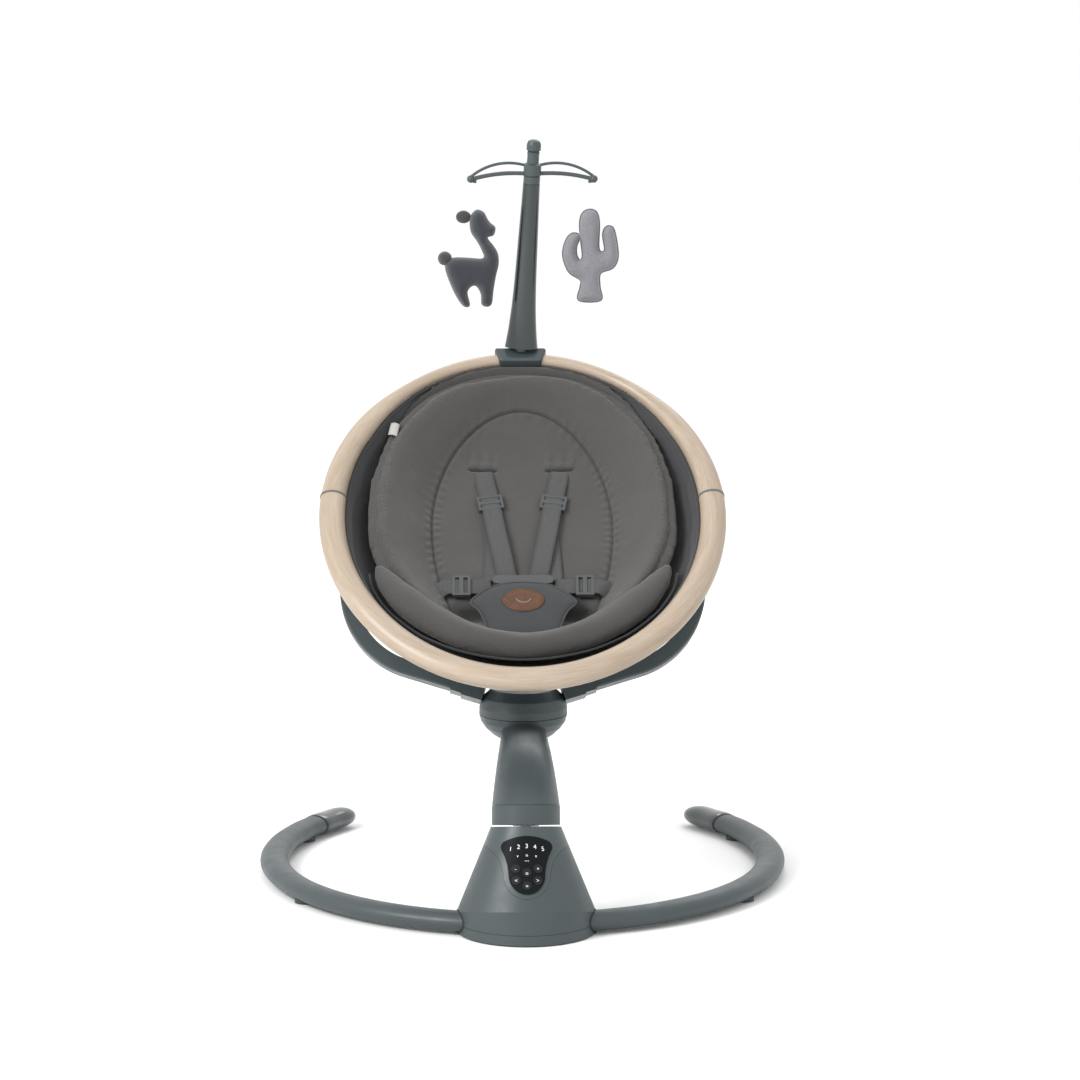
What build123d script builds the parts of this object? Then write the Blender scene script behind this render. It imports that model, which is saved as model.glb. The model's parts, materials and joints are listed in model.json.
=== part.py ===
"""Powered baby swing: C-shaped floor base, leaning drive hub, swing arm, swivelling fork and hoop seat.

Millimetres, +Z up. The origin is on the floor under the middle of the whole object; -Y is the front,
where the drive hub and its control panel are. Left is -X. At rest the seat hangs straight behind the hub.
"""
from build123d import *
import os
from math import acos, asin, cos, degrees, pi, radians, sin, sqrt, tan

os.makedirs("parts", exist_ok=True)

# ---- base: a C of oval tube, open at the back
BASE_Y = 77.75           # centre of the C along Y, which centres the whole object
BASE_HALF_W = 303.0      # the C is an ellipse; half sizes are to the tube's centreline
BASE_HALF_L = 345.0
TUBE_HALF_W = 17.5
TUBE_HALF_H = 12.0
TUBE_WALL = 2.5
TUBE_Z = 14.0            # height of the centreline
TUBE_START_DEG = 12.0    # measured round the C from the front
TUBE_END_DEG = 121.0
PASSAGE_END_DEG = 19.0
DEG_PER_POINT = 7.0      # spacing of the points that draw the C
FOOT_DEGS = (59.0, 116.5)
FOOT_R = 13.0
FOOT_H = 5.0

# ---- drive hub: a cone round the swing axis, which leans back
HUB_Y = BASE_Y - 320.0
SWING_LEAN_DEG = 13.0
HUB_R = 81.0
HUB_SHOULDER_H = 21.0    # heights are measured along the swing axis from the floor
HUB_KINK_R = 49.0
HUB_KINK_H = 99.0
HUB_TOP_R = 41.0
HUB_TOP_H = 119.0
HUB_WALL = 3.0
PAN_TOP_Z = 12.0
FLOOR_GAP = 1.0          # the hub's pad thickness
SCREW_CIRCLE_R = 72.0
SCREW_CIRCLE_Y = 2.0     # the screws' circle stands behind the axis' foot
SCREW_DEGS = (42, 138, 235, 305)
SCREW_BOSS_R = 7.5
SCREW_R = 1.9
RIM_HALF_W = 19.2        # dark rims where the tubes enter the hub
RIM_HALF_H = 12.9
RIM_PROUD = 1.0
PANEL_HOLE_R = 5.75
BUTTON_R = 5.4
INLET_Z = 24.0
INLET_R = 5.5
INLET_BORE_R = 3.1
BEARING_R = 14.0

# ---- swing arm
ARM_R = 39.5
ARM_GAP = 2.0            # between the hub's top and the arm
BAND_H = 23.0
SHAFT_R = 6.0
# reach behind the swing axis' foot, height, slope in degrees, half width, half height
ARM_SECTIONS = ((32.4, 140.3, 77.0, 39.2, 39.2), (71.0, 160.0, 44.0, 36.0, 24.0),
                (128.0, 182.0, 16.0, 31.0, 16.0), (201.0, 190.0, 5.0, 27.3, 14.0),
                (225.0, 191.0, 0.0, 27.0, 14.0))
ARM_WALL = 3.0

# ---- drive gears
GEAR_MODULE = 1.25
GEAR_TEETH = 54
PINION_TEETH = 18
PRESSURE_DEG = 20.0
GEAR_H = 34.0
GEAR_THICK = 8.0
GEAR_DISTANCE = GEAR_MODULE * (GEAR_TEETH + PINION_TEETH) / 2 + 0.05

# ---- swivel and fork
SWIVEL_Y = HUB_Y + 243.0
SEAM_Z = 207.0           # joint plane of the swivel ball
BALL_R = 53.0
BOLT_R = 8.0
FORK_Z = 222.0
FORK_HALF_T = 9.0
PIN_R = 4.0
PIN_X = 222.5            # middle of each recline pivot
FORK_START = (60.0, 15.0)
FORK_CORNER = (203.0, 59.0)
FORK_BEND_R = 100.0

# ---- seat hoop, drawn in its own plane (x, v along the plane, n along its normal)
RING_Y = HUB_Y + 278.0
RING_Z = 444.0
RING_TILT_DEG = 39.0
RING_A = 229.0
RING_B = 260.0
RING_W = 31.0
RING_T = 25.0
RING_TOP_W = 15.0
RING_TOP_T = 14.0
PIVOT_V = 27.0
PIVOT_DROP = 28.0

# ---- seat fabric bowl: (depth n, half width, half length) of each level
LINER_OUT = ((-3, 208.5, 244), (-30, 200.5, 233), (-60, 175, 204), (-76, 132, 160), (-82, 77, 98))
LINER_IN = ((2, 203.5, 239), (-3, 202.5, 238), (-30, 194.5, 227), (-55, 167, 196), (-70, 124, 150),
            (-76, 69, 90))
INLAY_OUT = ((-3, 195.5, 231), (-30, 188.5, 220), (-55, 160, 189), (-69, 116, 142), (-74.5, 63, 84))
INLAY_IN = ((2, 187.5, 219), (-3, 185.5, 217), (-20, 172.5, 203), (-38, 145, 173), (-50, 102, 127),
            (-55, 57, 78))
ROLL_END = (136.0, -113.0, -25.0)
ROLL_MIDDLE = (0.0, -176.0, -25.0)
ROLL_HALF_T = 11.0
ROLL_HALF_W = 20.0

# ---- toy mast and bow
MAST_FORWARD_DEG = 6.0
MAST_LEAN_DEG = 3.5      # the mast leans towards +X
MAST_SECTIONS = ((15.5, 20.5, 14.5), (40, 17.4, 12.6), (75, 14.7, 11.1), (120, 13.0, 10.3),
                 (170, 11.7, 9.6), (221, 10.5, 9.0))
MAST_BORE_TOP = 38.0
BOW_H = 238.0
BOW_REACH = 77.0
BOW_DROOP = 11.0
STRING_X = 70.7
STRING_R = 0.6
STRING_TOP = -16.0       # below the bow's middle
STRING_LENGTH = 32.0

HUB = Location((0, HUB_Y, 0), (-SWING_LEAN_DEG, 0, 0))
RING = Location((0, RING_Y, RING_Z), (RING_TILT_DEG, 0, 0))
MAST = RING * Location((0, RING_B, 0)) * Location((0, 0, 0), (-RING_TILT_DEG, 0, 0))
MAST = MAST * Location((0, 0, 0), (MAST_FORWARD_DEG, MAST_LEAN_DEG, 0))
BOW = Location((MAST * Location((0, 0, BOW_H))).position)
PIVOT_Y = RING_Y + PIVOT_V * cos(radians(RING_TILT_DEG)) + PIVOT_DROP * sin(radians(RING_TILT_DEG))
PIVOT_Z = RING_Z + PIVOT_V * sin(radians(RING_TILT_DEG)) - PIVOT_DROP * cos(radians(RING_TILT_DEG))
FORK_RISE = sqrt((PIVOT_Y - SWIVEL_Y) ** 2 + (PIVOT_Z - FORK_Z) ** 2)
FORK_UP = (0, (PIVOT_Y - SWIVEL_Y) / FORK_RISE, (PIVOT_Z - FORK_Z) / FORK_RISE)
FORK_FRONT = (0, -FORK_UP[2], FORK_UP[1])
CONE_DEG = degrees(acos((HUB_KINK_H - HUB_SHOULDER_H)
                        / sqrt((HUB_KINK_H - HUB_SHOULDER_H) ** 2 + (HUB_R - HUB_KINK_R) ** 2)))

nodes = {}


# ---------------------------------------------------------------- helpers
def block(low, high):
    """Box between two corners."""
    size = [high[i] - low[i] for i in range(3)]
    middle = [(high[i] + low[i]) / 2 for i in range(3)]
    return Pos(*middle) * Box(*size)


def rod(radius, low, high):
    """Cylinder along Z between two heights."""
    return Pos(0, 0, (low + high) / 2) * Cylinder(radius, high - low)


def tube(outer, inner, low, high):
    return rod(outer, low, high) - rod(inner, low - 1, high + 1)


def cross_rod(radius, low, high):
    """Cylinder along X between two places."""
    return Pos((low + high) / 2, 0, 0) * Rot(0, 90, 0) * Cylinder(radius, high - low)


def turned(points):
    """Solid of revolution about Z from (radius, height) points."""
    outline = make_face(Polyline(*[(r, 0, z) for r, z in points], close=True))
    return revolve(outline, Axis.Z)


def left_of(shape):
    return mirror(shape, about=Plane.YZ)


def both_sides(shape):
    return Compound([shape, left_of(shape)])


def slab(outline, low, high):
    """Closed outline in a plane, thickened from low to high along its normal."""
    return Pos(0, 0, low) * extrude(make_face(outline), high - low)


# ---------------------------------------------------------------- base
def base_point(angle):
    """Place on the right-hand half of the C, at an angle from the front."""
    a = radians(angle)
    return (BASE_HALF_W * sin(a), BASE_Y - BASE_HALF_L * cos(a), TUBE_Z)


def base_heading(angle):
    a = radians(angle)
    return (BASE_HALF_W * cos(a), BASE_HALF_L * sin(a), 0)


def base_oval(angle, half_w, half_h):
    """Oval face across the C at an angle from the front."""
    heading = base_heading(angle)
    outward = (heading[1], -heading[0], 0)
    return Plane(origin=base_point(angle), x_dir=outward, z_dir=heading) * Ellipse(half_w, half_h)


def base_arc(half_w, half_h, start, end):
    """Right-hand stretch of oval bar round the C, from start to end degrees off the front."""
    steps = max(2, round((end - start) / DEG_PER_POINT))
    points = [base_point(start + (end - start) * i / steps) for i in range(steps + 1)]
    path = Spline(*points, tangents=[base_heading(start), base_heading(end)])
    return sweep(base_oval(start, half_w, half_h), path)


TUBE_FORM = base_arc(TUBE_HALF_W, TUBE_HALF_H, TUBE_START_DEG, TUBE_END_DEG)
PASSAGE = base_arc(RIM_HALF_W, RIM_HALF_H, TUBE_START_DEG - 1, PASSAGE_END_DEG)


def frame_tube():
    inside = base_arc(TUBE_HALF_W - TUBE_WALL, TUBE_HALF_H - TUBE_WALL, TUBE_START_DEG, TUBE_END_DEG)
    return TUBE_FORM - inside


def end_cap():
    sizes = ((0.7, 18.0, 12.4), (4, 19.0, 12.9), (8, 19.0, 12.9), (11.3, 16.6, 11.4), (13.1, 11.0, 7.6),
             (13.9, 4.0, 3.0))
    return loft([base_oval(TUBE_END_DEG + turn, w, h) for turn, w, h in sizes])


def trim_rings():
    """Dark rims where the tubes enter the hub, and dark rings in front of the end caps."""
    hub_rim = (PASSAGE - TUBE_FORM) & HUB * (hub_body(RIM_PROUD) - hub_body(-HUB_WALL))
    cap_ring = base_arc(17.9, 12.4, TUBE_END_DEG, TUBE_END_DEG + 0.7)
    return Compound([hub_rim, cap_ring, left_of(hub_rim), left_of(cap_ring)])


def foot_pads():
    pads = []
    for angle in FOOT_DEGS:
        x, y, z = base_point(angle)
        pad = Pos(x, y, 0) * rod(FOOT_R, 0, FOOT_H) - TUBE_FORM
        pads += [pad, left_of(pad)]
    pads.append(Pos(0, HUB_Y, 0) * tube(66, 40, 0, FLOOR_GAP))
    return Compound(pads)


# ---------------------------------------------------------------- hub
def hub_body(grow):
    """Hub's outer form round the swing axis, grown or shrunk by a distance."""
    points = [(0, -30), (HUB_R + grow, -30), (HUB_R + grow, HUB_SHOULDER_H), (HUB_KINK_R + grow, HUB_KINK_H),
              (HUB_TOP_R + grow, HUB_TOP_H + min(grow, 0)), (0, HUB_TOP_H + min(grow, 0))]
    return turned(points)


def shield_outline(grow):
    """U-shaped outline of the collar round the panel, in (x, height)."""
    side = ThreePointArc((52, HUB_KINK_H - grow), (33 + grow, 82), (27 + grow, 62))
    bottom = ThreePointArc((27 + grow, 62), (0, 35.5 - grow), (-27 - grow, 62))
    other = ThreePointArc((-27 - grow, 62), (-33 - grow, 82), (-52, HUB_KINK_H - grow))
    top = Polyline((-52, HUB_KINK_H - grow), (-52, 130), (52, 130), (52, HUB_KINK_H - grow))
    return [side, bottom, other, top]


def panel_outline():
    """Shield-shaped panel: broad arched top, narrow round bottom, in (x, height)."""
    top = ThreePointArc((-26, 101.5), (0, 108), (26, 101.5))
    corner = ThreePointArc((26, 101.5), (29, 98), (29, 92))
    side = ThreePointArc((29, 92), (23.6, 79), (21, 62))
    bottom = ThreePointArc((21, 62), (0, 41.5), (-21, 62))
    other = ThreePointArc((-21, 62), (-23.6, 79), (-29, 92))
    last = ThreePointArc((-29, 92), (-29, 98), (-26, 101.5))
    return [top, corner, side, bottom, other, last]


def front_prism(outline):
    """Prism from an (x, height) outline, running forward from the swing axis."""
    return extrude(Plane.XZ * make_face(outline), 110)


def shield():
    ring = rod(90, HUB_KINK_H, 130)
    return ring + front_prism(shield_outline(0))


def button_places():
    """Name and (x, height) of the six buttons."""
    return {"button_power": (0.0, 65.4), "button_melody": (0.0, 50.4),
            "button_speed_down": (-12.8, 70.2), "button_speed_up": (12.8, 70.2),
            "button_volume_down": (-12.4, 56.8), "button_volume_up": (12.4, 56.8)}


def button_rod(place, radius, deep, proud):
    """Cylinder square to the hub's front at one button, from deep inside to proud of the surface."""
    x, h = place
    surface = HUB_R - (h - HUB_SHOULDER_H) * tan(radians(CONE_DEG))
    at = Location((x, -surface, h), (90 - CONE_DEG, 0, 0))
    return at * rod(radius, -deep, proud)


def control_board():
    h = 61.0
    surface = HUB_R - (h - HUB_SHOULDER_H) * tan(radians(CONE_DEG))
    return Location((0, -surface, h), (90 - CONE_DEG, 0, 0)) * block((-17, -24, -13), (17, 24, -11.4))


def tube_passage():
    return PASSAGE + left_of(PASSAGE)


def screw_places():
    middle = HUB_Y + SCREW_CIRCLE_Y
    angles = [radians(a) for a in SCREW_DEGS]
    return [Pos(SCREW_CIRCLE_R * cos(a), middle + SCREW_CIRCLE_R * sin(a), 0) for a in angles]


def hub_base_pan():
    outer = HUB * hub_body(0)
    cavity = HUB * hub_body(-HUB_WALL)
    slice_low = block((-100, HUB_Y - 110, FLOOR_GAP), (100, HUB_Y + 110, PAN_TOP_Z))
    floor_zone = block((-100, HUB_Y - 110, FLOOR_GAP + 3), (100, HUB_Y + 110, PAN_TOP_Z + 1))
    pan = (outer & slice_low) - (cavity & floor_zone)
    seat = HUB * rod(18, 0, 26) & block((-40, HUB_Y - 60, FLOOR_GAP + 1), (40, HUB_Y + 60, 60))
    pan = pan + (seat - HUB * rod(BEARING_R, 18, 40))
    for place in screw_places():
        pan = pan + (place * rod(SCREW_BOSS_R, FLOOR_GAP + 1, PAN_TOP_Z) & outer)
    for place in screw_places():
        pan = pan - place * rod(2.3, 0, 20) - place * rod(3.8, 0, FLOOR_GAP + 2)
    return pan - tube_passage()


def hub_screws():
    screw = rod(3.5, FLOOR_GAP + 0.4, FLOOR_GAP + 2) + rod(SCREW_R, FLOOR_GAP + 2, 24)
    return Compound([place * screw for place in screw_places()])


def hub_shell():
    return hub_body(0) - hub_body(-HUB_WALL) - rod(22, 100, 130)


def hub_housing():
    shell = HUB * (hub_shell() - shield())
    above = block((-100, HUB_Y - 110, PAN_TOP_Z + 0.4), (100, HUB_Y + 110, 200))
    shell = shell & above
    outer = HUB * hub_body(-1)
    for place in screw_places():
        boss = (place * rod(SCREW_BOSS_R, PAN_TOP_Z + 0.4, 30)) & outer
        shell = shell + boss - place * rod(SCREW_R, 0, 26)
    inlet = Pos(0, HUB_Y + 70, INLET_Z) * Rot(90, 0, 0) * Cylinder(INLET_R, 40)
    return shell - tube_passage() - inlet


def hub_collar():
    shell = hub_shell() & (rod(90, HUB_KINK_H + 0.3, 130) + front_prism(shield_outline(-0.3)))
    for place in button_places().values():
        shell = shell - button_rod(place, PANEL_HOLE_R, 20, 10)
    return HUB * shell


def control_panel():
    skin = hub_body(1.8) - hub_body(0)
    panel = skin & front_prism(panel_outline()) & rod(90, 0, HUB_TOP_H - 1)
    for place in button_places().values():
        panel = panel - button_rod(place, PANEL_HOLE_R, 20, 10)
    return HUB * panel


def panel_button(place):
    cap = button_rod(place, BUTTON_R, 8, 9) & hub_body(2.5)
    return HUB * (cap - button_rod(place, 3.9, 20, -1.2))


def bearing_bridge():
    bridge = rod(46.5, 93, 97) + rod(18, 97, 113)
    return HUB * (bridge - rod(BEARING_R, 105, 120) - rod(SHAFT_R + 1.5, 80, 120))


def swing_bearings():
    return HUB * Compound([tube(BEARING_R, SHAFT_R, 18, 25.6), tube(BEARING_R, SHAFT_R, 105, 113)])


def swing_motor():
    body = rod(15.5, 4, 27) + rod(7, 27, 29.6)
    return HUB * (Pos(0, -GEAR_DISTANCE, 0) * (body - rod(3.03, 20, 40)))


def motor_bracket():
    plate = block((-19, -62, 29.7), (19, 19, 31.8))
    legs = [block((x - 3, y - 3, -20), (x + 3, y + 3, 29.7)) for x in (-19, 19) for y in (-59, 20)]
    for leg in legs:
        plate = plate + leg
    plate = plate - rod(12.5, 0, 40) - Pos(0, -GEAR_DISTANCE, 0) * rod(7.4, 0, 40)
    return HUB * plate & block((-60, HUB_Y - 110, FLOOR_GAP + 3), (60, HUB_Y + 110, 80))


def dc_inlet():
    barrel = Cylinder(INLET_R, 16) - Pos(0, 0, -3) * Cylinder(INLET_BORE_R, 12)
    pin = Pos(0, 0, -1) * Cylinder(1.0, 11)
    return Pos(0, HUB_Y + 69, INLET_Z) * Rot(90, 0, 0) * (barrel + pin)


# ---------------------------------------------------------------- drive and swing arm
def gear(teeth, phase_deg, bore):
    """Involute spur gear about Z; a tooth is centred on phase_deg."""
    pitch = GEAR_MODULE * teeth / 2
    base = pitch * cos(radians(PRESSURE_DEG))
    root, tip = pitch - 1.25 * GEAR_MODULE, pitch + 0.95 * GEAR_MODULE
    middle = pi / (2 * teeth) + tan(radians(PRESSURE_DEG)) - radians(PRESSURE_DEG) - 0.05 / pitch
    radii = (root, max(base, root + 0.1), (base + pitch) / 2, pitch, (pitch + tip) / 2, tip)
    flank = []
    for r in radii:
        turn = acos(min(base / r, 1.0))
        flank.append((r, middle - (tan(turn) - turn)))
    points = []
    for tooth in range(teeth):
        centre = radians(phase_deg) + tooth * 2 * pi / teeth
        points += [(r * cos(centre - half), r * sin(centre - half)) for r, half in flank]
        points += [(r * cos(centre + half), r * sin(centre + half)) for r, half in reversed(flank)]
    wheel = slab(Polyline(*points, close=True), GEAR_H, GEAR_H + GEAR_THICK)
    return wheel - rod(bore, GEAR_H - 1, GEAR_H + GEAR_THICK + 1)


def drive_gear():
    wheel = gear(GEAR_TEETH, -90, SHAFT_R) + tube(11, SHAFT_R, GEAR_H - 3, GEAR_H)
    return HUB * wheel


def drive_pinion():
    pinion = gear(PINION_TEETH, 90 + 180 / PINION_TEETH, 2) + rod(3.0, 21, GEAR_H + GEAR_THICK)
    return HUB * (Pos(0, -GEAR_DISTANCE, 0) * pinion)


def swing_shaft():
    shaft = rod(SHAFT_R, 18.2, 140) + rod(15, HUB_TOP_H + 0.6, HUB_TOP_H + ARM_GAP)
    return HUB * shaft


def arm_collar():
    low = HUB_TOP_H + ARM_GAP
    cup = rod(ARM_R, low, low + BAND_H - 0.4) - rod(ARM_R - ARM_WALL, low + 3, low + BAND_H + 1)
    boss = rod(14, low, low + 16)
    return HUB * (cup + boss - rod(SHAFT_R, 100, 200))


def arm_section(section, inset):
    reach, height, slope, half_w, half_h = section
    normal = (0, cos(radians(slope)), sin(radians(slope)))
    plane = Plane(origin=(0, HUB_Y + reach, height), x_dir=(1, 0, 0), z_dir=normal)
    return plane * Ellipse(half_w - inset, half_h - inset)


def arm_body(inset):
    return loft([arm_section(section, inset) for section in ARM_SECTIONS])


def arm_below():
    """Everything under the line through the middles of the arm's sections."""
    line = [(HUB_Y + 20, 90)] + [(HUB_Y + s[0], s[1]) for s in ARM_SECTIONS] + [(SWIVEL_Y + 30, 191)]
    line += [(SWIVEL_Y + 30, 60), (HUB_Y + 20, 60)]
    return extrude(Plane.YZ * make_face(Polyline(*line, close=True)), 60, both=True)


def arm_shells():
    shell = arm_body(0) - arm_body(ARM_WALL) - bowl_form() - HUB * rod(60, 60, HUB_TOP_H + ARM_GAP + BAND_H)
    under = arm_below()
    return shell - under, shell & under


def arm_core_tube():
    start = HUB * Location((0, 0, 140.3))
    y0, z0 = start.position.Y, start.position.Z
    lean = radians(SWING_LEAN_DEG)
    bend = (0, y0 + 14 * sin(lean), z0 + 14 * cos(lean))
    points = [(0, y0, z0), bend, (0, HUB_Y + 128, 181), (0, SWIVEL_Y - 46, 190)]
    path = FilletPolyline(*points, radius=11)
    section = Plane(origin=path @ 0, z_dir=path % 0) * Circle(8)
    return sweep(section, path) - bowl_form()


def bowl_form():
    outer = [(0, 176), (26, 176), (37, 183), (45.5, 191), (51, 199), (BALL_R, SEAM_Z), (0, SEAM_Z)]
    return Pos(0, SWIVEL_Y, 0) * turned(outer)


def swivel_bowl():
    inside = turned([(0, 184), (30, 184), (42, 193), (47.5, 200), (BALL_R - 3.5, SEAM_Z + 1),
                     (0, SEAM_Z + 1)])
    inner = inside - tube(42, 30, 180, 199) - rod(14, 180, 201)
    bores = rod(BOLT_R, 170, 210) + rod(11.2, 170, 180.2)
    return bowl_form() - Pos(0, SWIVEL_Y, 0) * (inner + bores)


def swivel_bolt():
    return Pos(0, SWIVEL_Y, 0) * (rod(11, 176.2, 180.2) + rod(BOLT_R, 180.2, 229))


def swivel_bearing():
    return Pos(0, SWIVEL_Y, 0) * tube(41.5, 30.5, 199, SEAM_Z + 0.3)


# ---------------------------------------------------------------- fork
def housing_form():
    low = SEAM_Z + 0.7
    return turned([(0, low), (BALL_R, low), (52.8, 216), (49, 228), (38, 238), (20, 242), (0, 242.5)])


def swivel_housing():
    low = SEAM_Z + 0.7
    inside = turned([(0, low + 3), (50, low + 3), (49.6, 216), (46, 226), (36, 235), (0, 238)])
    shape = housing_form() - (inside - rod(14, low, 240))
    return Pos(0, SWIVEL_Y, 0) * (shape - rod(BOLT_R + 0.05, 200, 231))


def fork_plane():
    return Plane(origin=(0, SWIVEL_Y, FORK_Z), x_dir=(1, 0, 0), z_dir=FORK_FRONT)


def fork_path():
    return fork_plane() * FilletPolyline(FORK_START, FORK_CORNER, (PIN_X, FORK_RISE), radius=FORK_BEND_R)


def fork_bar(half_d, half_t, bevel):
    """Band along the fork's path; its outer edge is bevelled."""
    path = fork_path()
    outline = Polyline((-half_d, -half_t), (half_d, -half_t), (half_d, half_t - bevel),
                       (half_d - bevel, half_t), (bevel - half_d, half_t), (-half_d, half_t - bevel),
                       close=True)
    plane = Plane(origin=path @ 0, x_dir=FORK_FRONT, z_dir=path % 0)
    return sweep(plane * make_face(outline), path)


def fork_side_profile():
    """Side view of the fork: a band that narrows to the recline pivot."""
    side = Plane(origin=(0, SWIVEL_Y, FORK_Z), x_dir=FORK_UP, z_dir=(1, 0, 0))
    band = make_face(Polyline((-30, -17), (110, -17), (FORK_RISE, -11), (FORK_RISE, 11), (110, 17), (-30, 17),
                              close=True))
    tip = Pos(FORK_RISE, 0) * Circle(11)
    return extrude(side * (band + tip), 260, both=True)


def at_pivot(shape):
    return Pos(0, PIVOT_Y, PIVOT_Z) * shape


def fork_arm():
    arm = fork_bar(20, FORK_HALF_T, 5) & fork_side_profile()
    arm = arm + at_pivot(cross_rod(11, PIN_X - 6.4, PIN_X + 6.4))
    for low, high in ((PIN_X - 30, PIN_X - 6.4), (PIN_X + 6.4, PIN_X + 30)):
        arm = arm - at_pivot(cross_rod(24, low, high))
    return arm - at_pivot(cross_rod(PIN_R, 150, 300))


def fork_bracket():
    """Stepped socket that joins the fork's arm to the ball."""
    path = fork_path()
    plane = Plane(origin=path @ 0, x_dir=FORK_FRONT, z_dir=path % 0)
    inner = extrude(plane * Rectangle(40, 26), 12) + extrude(plane * Rectangle(40, 26), -14)
    outer = extrude(plane * Rectangle(36, 22), 26)
    hole = extrude(plane * Rectangle(34, 2 * FORK_HALF_T), 30)
    below = block((0, SWIVEL_Y - 60, 100), (100, SWIVEL_Y + 60, SEAM_Z + 1.5))
    return inner + outer - hole - below - Pos(0, SWIVEL_Y, 0) * housing_form()


def recline_pin():
    return at_pivot(cross_rod(PIN_R, PIN_X - 15, PIN_X + 13.4) + cross_rod(6.5, PIN_X + 13.4, PIN_X + 15.4))


# ---------------------------------------------------------------- seat hoop
def hoop_size(phi):
    """Width and thickness of the hoop; the rear stretch thins towards the top."""
    off_top = abs(90 - phi)
    if off_top > 84:
        return RING_W, RING_T
    if off_top > 62:
        share = 0.72 + 0.28 * (off_top - 62) / 22
    else:
        step = min(max((off_top - 32) / 30, 0), 1)
        share = 0.72 * step * step * (3 - 2 * step)
    return RING_TOP_W + share * (RING_W - RING_TOP_W), RING_TOP_T + share * (RING_T - RING_TOP_T)


def hoop_plane(phi):
    p = radians(phi)
    tangent = (-RING_A * sin(p), RING_B * cos(p), 0)
    outward = (RING_B * cos(p), RING_A * sin(p), 0)
    return Plane(origin=(RING_A * cos(p), RING_B * sin(p), 0), x_dir=outward, z_dir=tangent)


def hoop_stretch(start, end, count):
    faces = []
    for i in range(count):
        phi = start + (end - start) * i / (count - 1)
        width, thick = hoop_size(phi)
        faces.append(hoop_plane(phi) * Ellipse(width / 2, thick / 2))
    return loft(faces)


SEAM_DEG = degrees(asin(PIVOT_V / RING_B))
SEAM_HALF_DEG = 0.31
HOOP_FRONT = hoop_stretch(180 - SEAM_DEG + SEAM_HALF_DEG, 360 + SEAM_DEG - SEAM_HALF_DEG, 21)
HOOP_REAR = hoop_stretch(SEAM_DEG + SEAM_HALF_DEG, 89.9, 12)


def joint_band():
    plane = hoop_plane(SEAM_DEG)
    return extrude(plane * Ellipse(RING_W / 2 + 0.6, RING_T / 2 + 0.6), 1.3, both=True)


def recline_lug():
    """Clevis under the hoop at the seam, with a slot for the fork's tip."""
    lug = block((PIN_X - 13, PIVOT_V - 13, -PIVOT_DROP), (PIN_X + 13, PIVOT_V + 13, -5))
    lug = lug + Pos(0, PIVOT_V, -PIVOT_DROP) * cross_rod(13, PIN_X - 13, PIN_X + 13)
    slot = block((PIN_X - 7.2, PIVOT_V - 20, -PIVOT_DROP - 20), (PIN_X + 7.2, PIVOT_V + 20, -16))
    bore = Pos(0, PIVOT_V, -PIVOT_DROP) * cross_rod(PIN_R + 0.05, 200, 250)
    return lug - slot - bore - HOOP_FRONT - HOOP_REAR - joint_band()


def mast_socket():
    """Saddle round the hoop's top, with the spigot that carries the mast."""
    outline = Polyline((-33, RING_B + 11), (33, RING_B + 11), (25.5, RING_B - 11), (-25.5, RING_B - 11),
                       close=True)
    saddle = slab(outline, -10.5, 10.5)
    saddle = fillet(saddle.edges(), 3.5) - HOOP_REAR - left_of(HOOP_REAR)
    spigot = MAST * (rod(7, 11, 36) - rod(3.5, 20, 40))
    spigot = spigot - RING * (HOOP_REAR + left_of(HOOP_REAR))
    return RING * saddle + spigot


# ---------------------------------------------------------------- seat fabric and harness
def dish(levels):
    """Solid bowl lofted through (depth, half width, half length) ovals; the rim is pushed back a little."""
    faces = [Pos(0, 4 * max(0, 1 + n / 60), n) * Ellipse(a, b) for n, a, b in levels]
    return loft(faces)


def below_rim(shape):
    return shape & block((-260, -290, -120), (260, 290, -3))


INLAY_TOP = dish(INLAY_IN)


def seat_liner():
    return below_rim(dish(LINER_OUT) - dish(LINER_IN))


def seat_inlay():
    return below_rim(dish(INLAY_OUT) - INLAY_TOP)


def front_roll():
    """Padded lip across the front of the inlay."""
    start = (-ROLL_END[0], ROLL_END[1], ROLL_END[2])
    arc = ThreePointArc(start, ROLL_MIDDLE, ROLL_END)
    section = Plane(origin=arc @ 0, x_dir=(0, 0, 1), z_dir=arc % 0) * Ellipse(ROLL_HALF_T, ROLL_HALF_W)
    return sweep(section, arc) & INLAY_TOP


def strap(start, end, width, thick):
    """Flat strap between two points in the seat's frame, lying with its face up."""
    run = Vector(*end) - Vector(*start)
    plane = Plane(origin=start, x_dir=run.cross(Vector(0, 0, 1)), z_dir=run)
    return extrude(plane * Rectangle(width, thick), run.length)


def shoulder_strap():
    return strap((47, 114, -47), (19, -60, -49.5), 23, 1.6)


def waist_strap():
    return strap((88, -78, -43), (38, -74, -48), 23, 1.6)


def ladder(at, turn):
    """Sliding bar adjuster: a frame with two windows round the strap."""
    frame = Box(31, 22, 5) - Pos(0, 5, 0) * Box(24.6, 5, 9) - Pos(0, -5, 0) * Box(24.6, 5, 9)
    return Location(at, (0, 0, turn)) * (frame - Box(24.6, 30, 2.6))


def strap_adjusters():
    shoulder = ladder((38.5, 61, -47.8), -9.1)
    waist = ladder((74, -76.5, -44.5), 90)
    pieces = [shoulder, left_of(shoulder), waist, left_of(waist)]
    straps = [shoulder_strap(), left_of(shoulder_strap()), waist_strap(), left_of(waist_strap())]
    return Compound([piece - straps[i] for i, piece in enumerate(pieces)])


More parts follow.
